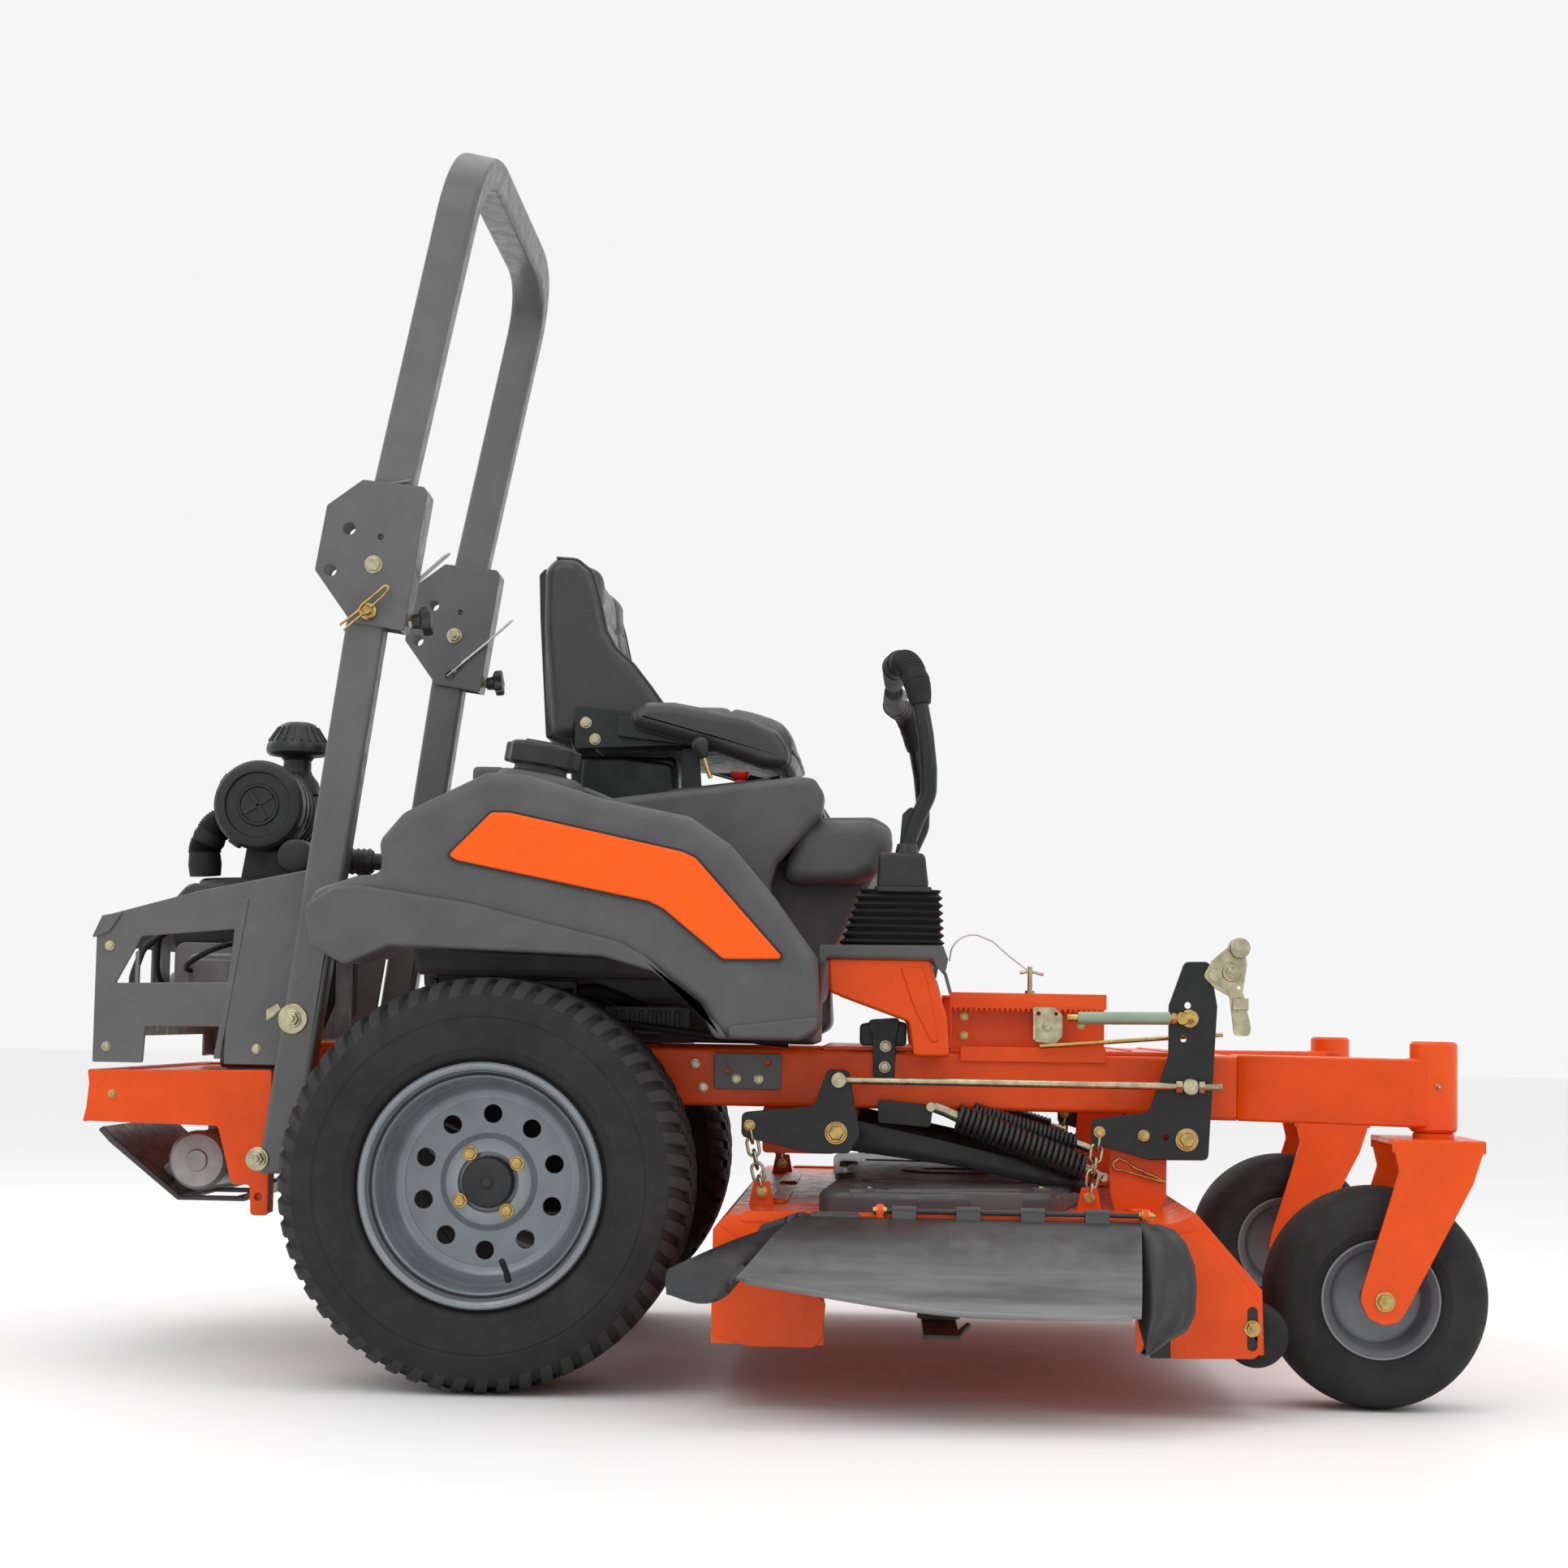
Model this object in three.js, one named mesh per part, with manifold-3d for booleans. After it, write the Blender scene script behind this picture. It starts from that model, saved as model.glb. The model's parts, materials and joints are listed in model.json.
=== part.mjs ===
// Zero turn mower: a ride-on machine with two driven rear wheels, two front casters, a belly deck,
// a folding roll hoop, a rear engine and two lap bars. Millimetres, +X forward, +Y left, +Z up.
// Shapes are drawn with x = 0 at the rear axle, y = 0 on the centreline and z = 0 on the ground;
// the whole machine is moved at the end so that the origin is the middle of its footprint.
import * as THREE from 'three';
import { mergeVertices } from 'three/addons/utils/BufferGeometryUtils.js';
import Module from 'manifold-3d';

const wasm = await Module();
wasm.setup();

// ---------- driving dimensions ----------
const GAP = 0.3; // left between pieces that touch
const RIGHT = -1;
const LEFT = 1;

const DRIVE_RADIUS = 300; // 24x12-12 drive tyre, from axle to ground
const DRIVE_CENTRE_Y = 505;
const DRIVE_SIDES = 24; // a multiple of four, with one flat side on the ground
const CASTER_RADIUS = 160; // 13x6.5-6 caster tyre
const CASTER_PIVOT_X = 1384;
const CASTER_PIVOT_Y = 510;
const CASTER_TRAIL = 86;
const CASTER_SIDES = 20;

const RAIL_IN = 285; // the two frame rails, as distances from the centreline
const RAIL_OUT = 345;
const RAIL_TOP = 500;
const RAIL_BOTTOM = 412;
const RAIL_FRONT_X = 1030;

const ROPS_IN = 398; // roll hoop legs and posts
const ROPS_OUT = 448;
const ROPS_DEPTH = 60;
const ROPS_PIVOT = { x: -212, z: 1226 };
const ROPS_TOP = 696; // top of the hoop above its pivot, along the leaning legs
const POST_LEAN = THREE.MathUtils.degToRad(7.45);
const HOOP_LEAN = THREE.MathUtils.degToRad(11.2);

const TANK_IN = 355.5; // fuel tanks, over the drive tyres
const TANK_OUT = 600;
const POD_HALF = 355;
const SEAT_HALF = 240;

const DECK_HALF = 700;
const DECK_WALL = 5;
const BLADE_RADIUS = 228;
const BLADE_Z = 104;

const LIFT_PLATE_Y = 440; // middle of the lift cranks
const LIFT_Z = 378; // both lift shafts
const LIFT_FRONT_X = 1031;
const LIFT_REAR_X = 508;
const LIFT_ARM = 130; // shaft to chain pin
const LIFT_ROD_ARM = 79; // shaft to tie rod pin

// ---------- finishes ----------
const paint = (color, roughness, metalness = 0) =>
  new THREE.MeshStandardMaterial({ color, roughness, metalness });
const ORANGE = paint(0xe84a00, 0.35);
const PANEL_ORANGE = paint(0xff5a0a, 0.3);
const GREY_PAINT = paint(0x646464, 0.4);
const GREY_PLASTIC = paint(0x5c5c5e, 0.55);
const BLACK_PLASTIC = paint(0x28282a, 0.6);
const BLACK_STEEL = paint(0x1e2022, 0.4, 0.2);
const TYRE = paint(0x2d2d2d, 0.9);
const RIM = paint(0x96a0a3, 0.4, 0.3);
const CASTER_GREY = paint(0x8a8d90, 0.45, 0.2);
const ENGINE_BLACK = paint(0x222224, 0.5);
const BARE_STEEL = paint(0xb0b2b2, 0.3, 0.9);
const ZINC = paint(0xc9c3a0, 0.35, 0.8);
const VINYL = paint(0x353537, 0.7);
const FOAM = paint(0x202022, 0.85);
const RED_PLASTIC = paint(0xc01818, 0.4);

// ---------- shape helpers ----------

// A closed three.js geometry as a solid, with its faces pointing out.
function solid(geometry) {
  const loose = geometry.index ? geometry.toNonIndexed() : geometry;
  const bare = new THREE.BufferGeometry();
  bare.setAttribute('position', loose.getAttribute('position'));
  const merged = mergeVertices(bare, 1e-3);
  const corners = [];
  for (let i = 0; i < merged.index.count; i += 3) {
    const [a, b, c] = [0, 1, 2].map((k) => merged.index.getX(i + k));
    if (a !== b && b !== c && c !== a) corners.push(a, b, c);
  }
  const make = (triVerts) => new wasm.Manifold(new wasm.Mesh({
    numProp: 3,
    vertProperties: merged.attributes.position.array,
    triVerts: new Uint32Array(triVerts),
  }));
  const made = make(corners);
  return made.volume() > 0 ? made : make(corners.slice().reverse());
}

const join = (first, ...rest) => rest.reduce((whole, next) => whole.add(next), first);
const cut = (first, ...rest) => rest.reduce((whole, next) => whole.subtract(next), first);

// A box from its low and high limits; each pair may come in either order.
function box([x0, x1], [y0, y1], [z0, z1]) {
  const size = [Math.abs(x1 - x0), Math.abs(y1 - y0), Math.abs(z1 - z0)];
  const geometry = new THREE.BoxGeometry(...size);
  return solid(geometry.translate((x0 + x1) / 2, (y0 + y1) / 2, (z0 + z1) / 2));
}

// A closed outline whose corners are rounded by up to the given radius.
function outline(points, radius = 0) {
  const shape = new THREE.Shape();
  const corner = points.map((point) => new THREE.Vector2(...point));
  corner.forEach((here, i) => {
    const before = corner.at(i - 1);
    const after = corner[(i + 1) % corner.length];
    const reach = Math.min(radius, here.distanceTo(before) / 2.1, here.distanceTo(after) / 2.1);
    const enter = here.clone().lerp(before, reach / here.distanceTo(before));
    const leave = here.clone().lerp(after, reach / here.distanceTo(after));
    if (i === 0) shape.moveTo(enter.x, enter.y);
    else shape.lineTo(enter.x, enter.y);
    if (radius > 0) shape.quadraticCurveTo(here.x, here.y, leave.x, leave.y);
  });
  shape.closePath();
  return shape;
}

const extruded = (shape, depth, more = {}) =>
  new THREE.ExtrudeGeometry(shape, { depth, bevelEnabled: false, curveSegments: 3, ...more });

// An x-z outline given thickness from y0 to y1.
function sideShape(shape, y0, y1, more) {
  const geometry = extruded(shape, Math.abs(y1 - y0), more);
  return solid(geometry.rotateX(Math.PI / 2).translate(0, Math.max(y0, y1), 0));
}
const side = (points, y0, y1, radius = 0) => sideShape(outline(points, radius), y0, y1);

// An x-y outline given thickness from z0 to z1.
const plan = (points, z0, z1, radius = 0) =>
  solid(extruded(outline(points, radius), z1 - z0).translate(0, 0, z0));

// A y-z outline given thickness from x0 to x1.
function frontShape(shape, x0, x1) {
  const toYz = new THREE.Matrix4().makeBasis(
    new THREE.Vector3(0, 1, 0), new THREE.Vector3(0, 0, 1), new THREE.Vector3(1, 0, 0));
  return solid(extruded(shape, x1 - x0).applyMatrix4(toYz).translate(x0, 0, 0));
}
const front = (points, x0, x1, radius = 0) => frontShape(outline(points, radius), x0, x1);

// A lathe around the y axis (or z), from [radius, height] points; the first side lies flat at -z.
function turned(profile, sides, axis = 'y') {
  const points = profile.map(([r, h]) => new THREE.Vector2(r / Math.cos(Math.PI / sides), h));
  const geometry = new THREE.LatheGeometry(points, sides, Math.PI / sides);
  return solid(axis === 'z' ? geometry.rotateX(Math.PI / 2) : geometry);
}
const ring = (profile, sides, axis) => turned([...profile, profile[0]], sides, axis);

// A round bar between two points.
function rod(a, b, radius, sides = 8) {
  const from = new THREE.Vector3(...a);
  const to = new THREE.Vector3(...b);
  const geometry = new THREE.CylinderGeometry(radius, radius, from.distanceTo(to), sides);
  const turn = new THREE.Quaternion().setFromUnitVectors(
    new THREE.Vector3(0, 1, 0), to.clone().sub(from).normalize());
  geometry.applyQuaternion(turn);
  return solid(geometry.translate(...from.lerp(to, 0.5).toArray()));
}
const crossRod = (x, z, y0, y1, radius, sides) => rod([x, y0, z], [x, y1, z], radius, sides);

// A round tube bent through the points.
function bent(points, radius, steps, sides = 8) {
  const path = new THREE.CatmullRomCurve3(points.map((p) => new THREE.Vector3(...p)));
  const section = outline(Array.from({ length: sides }, (_, i) => {
    const angle = (i / sides) * 2 * Math.PI;
    return [radius * Math.cos(angle), radius * Math.sin(angle)];
  }));
  return solid(new THREE.ExtrudeGeometry(section, { extrudePath: path, steps }));
}

const mower = new THREE.Group();
const machine = new THREE.Group();
mower.add(machine);

// Adds one named piece to the machine, at a place and a turn about the y axis.
function piece(name, body, material, place = [0, 0, 0], turnY = 0) {
  const made = body.getMesh();
  const geometry = new THREE.BufferGeometry();
  geometry.setAttribute('position', new THREE.BufferAttribute(made.vertProperties, 3));
  geometry.setIndex(new THREE.BufferAttribute(made.triVerts, 1));
  const mesh = new THREE.Mesh(geometry, material);
  mesh.name = name;
  mesh.position.set(...place);
  mesh.rotation.y = turnY;
  machine.add(mesh);
}
const sides = [['right', RIGHT], ['left', LEFT]];

// ---------- drive wheels and their motors ----------
function driveWheel(name, s) {
  const place = [0, s * DRIVE_CENTRE_Y, DRIVE_RADIUS];
  const tread = 104;
  const half = [
    [DRIVE_RADIUS, tread], [288, 134], [258, 145], [216, 140], [180, 117.4], [154.9, 117.4],
  ];
  const otherHalf = half.slice().reverse().map(([r, h]) => [r, -h]);
  piece(`drive_tyre_${name}`, ring([...otherHalf, ...half], DRIVE_SIDES), TYRE, place);

  // The dished rim and the hub with its axle are bolted together and turn as one.
  const disc = 32;
  let rim = turned([
    [0, disc], [52, disc], [60, 25], [128, 25], [138, 40], [148, 110], [168, 129],
    [176, 129], [176, 118], [154.4, 118], [154.4, -118], [176, -118], [176, -129], [166, -129],
    [146, -110], [146, 5], [128, 12], [50, 12], [50, 2], [0, 2],
  ], DRIVE_SIDES);
  const holes = 10;
  for (let i = 0; i < holes; i += 1) {
    const angle = ((i + 0.5) / holes) * 2 * Math.PI;
    const [x, z] = [100 * Math.cos(angle), 100 * Math.sin(angle)];
    rim = cut(rim, crossRod(x, z, 5, 40, 13, 8));
  }
  rim = join(rim, crossRod(0, 0, -158, 6, 22, 12));
  // The dish faces outwards on both sides of the machine.
  const turn = s === RIGHT ? new THREE.Matrix4().makeRotationZ(Math.PI) : new THREE.Matrix4();
  piece(`drive_rim_${name}`, turnedBy(rim, turn), RIM, place);

  const motor = join(
    crossRod(0, DRIVE_RADIUS, s * 250, s * 346, 62, 12),
    box([-55, 55], [s * 302, s * 340], [DRIVE_RADIUS, RAIL_BOTTOM - GAP]),
    box([-70, 80], [s * 180, s * 262], [240, 372]),
  );
  piece(`wheel_motor_${name}`, motor, ENGINE_BLACK);
}

// The same solid seen through a matrix.
function turnedBy(body, matrix) {
  const made = body.getMesh();
  const geometry = new THREE.BufferGeometry();
  geometry.setAttribute('position', new THREE.BufferAttribute(made.vertProperties, 3));
  geometry.setIndex(new THREE.BufferAttribute(made.triVerts, 1));
  return solid(geometry.applyMatrix4(matrix));
}
for (const [name, s] of sides) driveWheel(name, s);

// ---------- casters ----------
function caster(name, s) {
  const place = [CASTER_PIVOT_X, s * CASTER_PIVOT_Y, 0];
  const plate = [
    [-76, 388], [58, 388], [38, 329], [-54, 150], [-66, 132], [-88, 127], [-110, 137],
    [-121, 160], [-118, 178], [-66, 345],
  ];
  const axleReach = 112;
  const fork = join(
    side(plate, -100, -92),
    side(plate, 92, 100),
    box([-78, 60], [-100, 100], [382, 390]),
    turned([[0, 386], [28, 386], [28, 398.5], [15, 398.5], [15, 522], [0, 522]], 12, 'z'),
    crossRod(-CASTER_TRAIL, CASTER_RADIUS, -axleReach, axleReach, 9, 8),
  );
  piece(`caster_fork_${name}`, fork, ORANGE, place);

  const wheelPlace = [CASTER_PIVOT_X - CASTER_TRAIL, s * CASTER_PIVOT_Y, CASTER_RADIUS];
  const rim = ring([
    [10, -88], [24, -88], [24, -16], [62, -12], [70, -60], [84, -66], [84, 66], [70, 60],
    [62, 12], [24, 16], [24, 88], [10, 88],
  ], CASTER_SIDES);
  piece(`caster_rim_${name}`, rim, CASTER_GREY, wheelPlace);
  const half = [[CASTER_RADIUS, 46], [143, 74], [118, 80], [92, 72], [84.5, 65]];
  const otherHalf = half.slice().reverse().map(([r, h]) => [r, -h]);
  piece(`caster_tyre_${name}`, ring([...otherHalf, ...half], CASTER_SIDES), TYRE, wheelPlace);
}
for (const [name, s] of sides) caster(name, s);

// ---------- frame ----------
function frameRail(name, s) {
  // The control tower is welded to the outside of the rail.
  const tower = side([
    [495, 585], [491, 640], [646, 640], [652, 615], [676, 494], [650, 494],
  ], s * (RAIL_OUT - 10), s * 448);
  const rail = box([-348, RAIL_FRONT_X], [s * RAIL_IN, s * RAIL_OUT], [RAIL_BOTTOM, RAIL_TOP]);
  piece(`frame_rail_${name}`, join(rail, tower), ORANGE);
}

function casterArm(name, s) {
  const armTop = 505;
  const arm = plan([
    [1110 + GAP, s * 285], [1110 + GAP, s * 398], [1352, s * 544], [1384, s * 540],
    [1384, s * 476], [1366, s * 470],
  ], 406, armTop);
  const tube = rod([CASTER_PIVOT_X, s * CASTER_PIVOT_Y, 399],
    [CASTER_PIVOT_X, s * CASTER_PIVOT_Y, 531], 34.5, 16);
  const bore = rod([CASTER_PIVOT_X, s * CASTER_PIVOT_Y, 390],
    [CASTER_PIVOT_X, s * CASTER_PIVOT_Y, 526], 20, 12);
  piece(`caster_arm_${name}`, cut(join(arm, tube), bore), ORANGE);
}
for (const [name, s] of sides) {
  frameRail(name, s);
  casterArm(name, s);
}

// The floor sheet with the two cross beams that hold the lift shafts under it.
function floorFrame() {
  const inside = RAIL_IN - GAP;
  const sheet = RAIL_OUT - 10 - GAP;
  let floor = join(
    box([481, 1060], [-sheet, sheet], [RAIL_TOP + GAP, 506]),
    box([RAIL_FRONT_X + GAP, 1110], [-398, 398], [406, 503]),
    box([481, 546], [-inside, inside], [420, 503]),
  );
  for (const [, s] of sides) {
    floor = join(
      floor,
      box([677, 917], [s * 292, s * (RAIL_OUT - 1)], [504, 593]), // foot rest
      box([1006, 1056], [s * 372, s * 392], [352, 420]), // front lift shaft lug
      box([484, 532], [s * 262, s * 280], [354, 430]), // rear lift shaft lug
    );
  }
  const reach = 420;
  floor = cut(
    floor,
    crossRod(LIFT_FRONT_X, LIFT_Z, -reach, reach, 13, 12),
    crossRod(LIFT_REAR_X, LIFT_Z, -reach, reach, 13, 12),
  );
  piece('floor_frame', floor, ORANGE);
}
floorFrame();

// The engine frame: two side plates, a rear cross channel and the engine plate.
function rearFrame() {
  const inner = 384;
  const outer = 396;
  const plate = [
    [-640, 372], [-634, 450], [-355, 455], [-355, 234], [-382, 234], [-384, 280], [-412, 280],
    [-436, 368],
  ];
  const frame = join(
    side(plate, -outer, -inner),
    side(plate, inner, outer),
    side([[-640, 372], [-634, 450], [-622, 450], [-628, 372]], -outer + 2, outer - 2),
    box([-630, -349], [-inner - 2, inner + 2], [438, 446]),
  );
  piece('rear_frame', frame, ORANGE);
}
rearFrame();

// ---------- roll hoop ----------
const POST_FOOT_Z = 300;
function ropsPost(name, s) {
  const tan = Math.tan(POST_LEAN);
  const half = ROPS_DEPTH / 2;
  const at = (z) => ROPS_PIVOT.x - (ROPS_PIVOT.z - z) * tan;
  const shoulder = ROPS_PIVOT.z + 12;
  const top = ROPS_PIVOT.z + 25;
  const taper = 420; // below this the front is cut back to clear the tyre
  const post = side([
    [at(POST_FOOT_Z) - half, POST_FOOT_Z], [at(POST_FOOT_Z) + half - 16, POST_FOOT_Z],
    [at(taper) + half - 2, taper],
    [at(shoulder) + half, shoulder], [at(top) + half - 10, top], [at(top) - half + 10, top],
    [at(shoulder) - half, shoulder],
  ], s * ROPS_IN, s * ROPS_OUT);
  const bore = crossRod(ROPS_PIVOT.x, ROPS_PIVOT.z, s * 380, s * 470, 8.8, 8);
  piece(`rops_post_${name}`, cut(post, bore), GREY_PAINT);
}
for (const [name, s] of sides) ropsPost(name, s);

const PIN_X = -217;
const PIN_Z = 1153;
// The hoop is drawn upright, with its pivot at the origin, and its channels are welded to its legs.
function ropsHoop() {
  const legStart = 42;
  const bendStart = 556;
  const innerTop = ROPS_TOP - 50;
  const hoop = new THREE.Shape();
  hoop.moveTo(ROPS_OUT, legStart);
  hoop.lineTo(ROPS_OUT, bendStart);
  hoop.quadraticCurveTo(ROPS_OUT, ROPS_TOP, 240, ROPS_TOP);
  hoop.lineTo(-240, ROPS_TOP);
  hoop.quadraticCurveTo(-ROPS_OUT, ROPS_TOP, -ROPS_OUT, bendStart);
  hoop.lineTo(-ROPS_OUT, legStart);
  hoop.lineTo(-ROPS_IN, legStart);
  hoop.lineTo(-ROPS_IN, bendStart);
  hoop.quadraticCurveTo(-ROPS_IN, innerTop, -232, innerTop);
  hoop.lineTo(232, innerTop);
  hoop.quadraticCurveTo(ROPS_IN, innerTop, ROPS_IN, bendStart);
  hoop.lineTo(ROPS_IN, legStart);
  hoop.closePath();
  let whole = frontShape(hoop, -ROPS_DEPTH / 2, ROPS_DEPTH / 2);

  const plate = [[-302, 1217], [-286, 1317], [-232, 1357], [-138, 1347], [-132, 1337],
    [-163, 1125], [-244, 1137]];
  const flange = [[-138, 1347], [-132, 1337], [-163, 1125], [-170, 1126]];
  const lean = new THREE.Matrix4().makeRotationY(-HOOP_LEAN).multiply(
    new THREE.Matrix4().makeTranslation(-ROPS_PIVOT.x, 0, -ROPS_PIVOT.z));
  for (const [, s] of sides) {
    let bracket = join(
      side(plate, s * (ROPS_OUT + 0.4), s * (ROPS_OUT + 6.4)),
      side(plate, s * (ROPS_IN - 6.4), s * (ROPS_IN - 0.4)),
      side(flange, s * (ROPS_IN - 6.4), s * (ROPS_OUT + 6.4)),
      // the weld between the leg and the channel
      side([[-205, 1300], [-215, 1340], [-150, 1338], [-156, 1300]],
        s * (ROPS_IN - 1), s * (ROPS_OUT + 1)),
    );
    const holes = [[-251, 1281, 9], [-278, 1217, 9], [-202, 1269, 4], [PIN_X, PIN_Z, 9]];
    for (const [x, z, r] of holes) bracket = cut(bracket, crossRod(x, z, s * 380, s * 470, r, 8));
    // the pivot bolt, which turns in the post's bore
    bracket = join(bracket, crossRod(ROPS_PIVOT.x, ROPS_PIVOT.z, s * 384, s * 463, 8, 8));
    whole = join(whole, turnedBy(bracket, lean));
  }
  piece('rops_hoop', whole, GREY_PAINT, [ROPS_PIVOT.x, 0, ROPS_PIVOT.z], HOOP_LEAN);
}
ropsHoop();
for (const [name, s] of sides) {
  const pin = join(
    crossRod(PIN_X, PIN_Z, s * (ROPS_OUT + GAP), s * 468, 8, 8),
    crossRod(PIN_X, PIN_Z, s * 458, s * 472, 13, 8),
  );
  piece(`rops_pin_${name}`, pin, ZINC);
}

// ---------- engine ----------
function engine() {
  const block = join(
    box([-560, -330], [-170, 170], [446 + GAP, 690]),
    side([[-572, 680], [-572, 740], [-545, 772], [-335, 772], [-312, 748], [-312, 680]], -215, 215),
    box([-540, -350], [-250, 250], [540, 640]),
  );
  piece('engine', block, ENGINE_BLACK);

  const canister = { x: -444, z: 877, r: 73 };
  const cleaner = join(
    crossRod(canister.x, canister.z, -150, 110, canister.r, 16),
    box([-474, -414], [-70, 50], [772 + GAP, 830]),
    rod([-411, 0, 915], [-411, 0, 964], 38, 12),
    turnedBy(turned([[0, 960], [49, 960], [51, 976], [51, 1003], [44, 1020], [0, 1027]], 16, 'z'),
      new THREE.Matrix4().makeTranslation(-411, 0, 0)),
    bent([[-500, -60, 850], [-535, -60, 828], [-548, -60, 780], [-545, -60, 772 + GAP]], 26, 6),
  );
  piece('air_cleaner', cleaner, ENGINE_BLACK);

  const can = join(
    crossRod(-503, 307, -240, 240, 45, 16),
    rod([-503, -100, 330], [-503, -100, 438 - GAP], 15),
    rod([-503, 100, 330], [-503, 100, 438 - GAP], 15),
  );
  piece('muffler', can, BARE_STEEL);
  let strap = side([
    [-664, 352], [-656, 358], [-636, 338], [-530, 251], [-430, 251], [-405, 275], [-398, 270],
    [-426, 244], [-534, 244], [-645, 332],
  ], -230, 230);
  strap = cut(
    strap,
    box([-520, -445], [-205, -12], [200, 300]),
    box([-520, -445], [12, 205], [200, 300]),
  );
  piece('muffler_guard', strap, BLACK_STEEL);

  // The sheet guard wraps round the engine on three sides and is open in front and below.
  const profile = [
    [-633, 462], [-633, 658], [-625, 685], [-482, 725], [-302, 763], [-345, 462],
  ];
  const skin = 6;
  const outer = 396;
  let guard = cut(
    side(profile, -outer, outer),
    box([-633 + skin, -200], [-outer + skin, outer - skin], [400, 800]),
  );
  const sideWindow = [[-600, 583], [-562, 655], [-420, 668], [-428, 587]];
  const lowWindow = [[-556, 440], [-552, 517], [-430, 519], [-430, 440]];
  for (const window of [sideWindow, lowWindow]) guard = cut(guard, side(window, -410, 410));
  for (const y of [-195, 195]) guard = cut(guard, box([-650, -610], [y - 140, y + 140], [520, 640]));
  guard = cut(guard, box([-650, -610], [-330, 330], [440, 500]));
  piece('engine_guard', guard, GREY_PAINT);
}
engine();

// ---------- fuel tanks ----------
const CAP_X = 52;
const CAP_Y = 470;
const CAP_TILT = THREE.MathUtils.degToRad(9);
function fuelTank(name, s) {
  const edge = [
    [-276, 682], [-261, 724], [-200, 745], [-161, 749], [-168, 797], [-133, 839], [-10, 901],
    [50, 898], [164, 864], [289, 840], [350, 799], [410, 729], [477, 636], [484, 531], [455, 515],
    [332, 516], [307, 563], [240, 612], [164, 633], [-146, 643], [-210, 614], [-262, 640],
  ];
  const softness = { bevelEnabled: true, bevelThickness: 20, bevelSize: 16, bevelOffset: -16,
    bevelSegments: 2 };
  const width = TANK_OUT - TANK_IN - 2 * softness.bevelThickness;
  const near = TANK_IN + softness.bevelThickness;
  const shell = sideShape(outline(edge), s * near, s * (near + width), softness);
  const neckTop = 15;
  const neck = rod([0, 0, -40], [0, 0, neckTop], 40, 12);
  const tilt = new THREE.Matrix4().makeTranslation(CAP_X, s * CAP_Y, 903)
    .multiply(new THREE.Matrix4().makeRotationY(CAP_TILT));
  const postRoom = box([-420, -215], [s * 340, s * 456], [400, 1000]);
  const tank = join(cut(shell, postRoom), turnedBy(neck, tilt));
  piece(`fuel_tank_${name}`, tank, GREY_PLASTIC);

  const inset = side([[-65, 784], [8, 841], [41, 841], [291, 786], [424, 637], [336, 636],
    [257, 709], [186, 737], [-58, 770]], s * (TANK_OUT + GAP), s * (TANK_OUT + 9));
  piece(`tank_panel_${name}`, inset, PANEL_ORANGE);
  const cap = turned([[0, neckTop + GAP], [57, neckTop + GAP], [57, 42], [50, 50], [0, 52]], 16,
    'z');
  piece(`fuel_cap_${name}`, cap, BLACK_PLASTIC, [CAP_X, s * CAP_Y, 903], CAP_TILT);
}
for (const [name, s] of sides) fuelTank(name, s);

// ---------- operator station ----------
function seatPod() {
  const floorZ = RAIL_TOP + 6 + GAP;
  const middle = [
    [-150, RAIL_TOP + GAP], [-150, 800], [60, 866], [470, 868], [573, 859], [586, 827], [536, 748],
    [487, 640], [474, floorZ], [474, RAIL_TOP + GAP],
  ];
  const console = [
    [-150, RAIL_TOP + GAP], [-150, 800], [138, 881], [446, 921], [474, 912], [479, 868],
    [468, 760], [468, RAIL_TOP + GAP],
  ];
  const pod = join(
    side(middle, -255, 255),
    side(console, RIGHT * 250, RIGHT * POD_HALF),
    side(console, LEFT * 250, LEFT * POD_HALF),
  );
  piece('seat_pod', pod, GREY_PLASTIC);
}
seatPod();

function seat() {
  const base = join(
    box([70, 478], [-SEAT_HALF, SEAT_HALF], [874, 882]),
    side([[70, 880], [66, 962], [238, 962], [242, 905], [230, 880]], -180, 180),
  );
  piece('seat_base', base, BLACK_STEEL);
  const cushion = side([[92, 964], [235, 972], [330, 962], [395, 942], [425, 950], [432, 985],
    [400, 1015], [300, 1030], [150, 1040], [92, 1040]], -SEAT_HALF, SEAT_HALF, 12);
  piece('seat_cushion', cushion, VINYL);
  const back = join(
    side([[68, 970], [36, 978], [21, 1179], [19, 1257], [35, 1276], [70, 1277], [88, 1268],
      [114, 1206], [122, 1148], [128, 1045], [86, 1044], [86, 972]], -SEAT_HALF + 5,
    SEAT_HALF - 5, 8),
    side([[110, 1150], [130, 1130], [222, 1054], [222, 1045], [112, 1045]], -SEAT_HALF, -170),
    side([[110, 1150], [130, 1130], [222, 1054], [222, 1045], [112, 1045]], 170, SEAT_HALF),
  );
  piece('seat_back', back, VINYL);
  for (const [name, s] of sides) {
    const arm = side([[82, 965], [81, 1032], [176, 1024], [300, 1000], [300, 975], [254, 974]],
      s * (SEAT_HALF + 6), s * (SEAT_HALF + 24));
    const pad = side([[177, 999], [174, 1026], [240, 1034], [355, 1014], [413, 983], [426, 950],
      [415, 938], [382, 938]], s * (SEAT_HALF + 22), s * (SEAT_HALF + 80), 14);
    piece(`armrest_${name}`, join(arm, pad), VINYL);
  }
}
seat();

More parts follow.
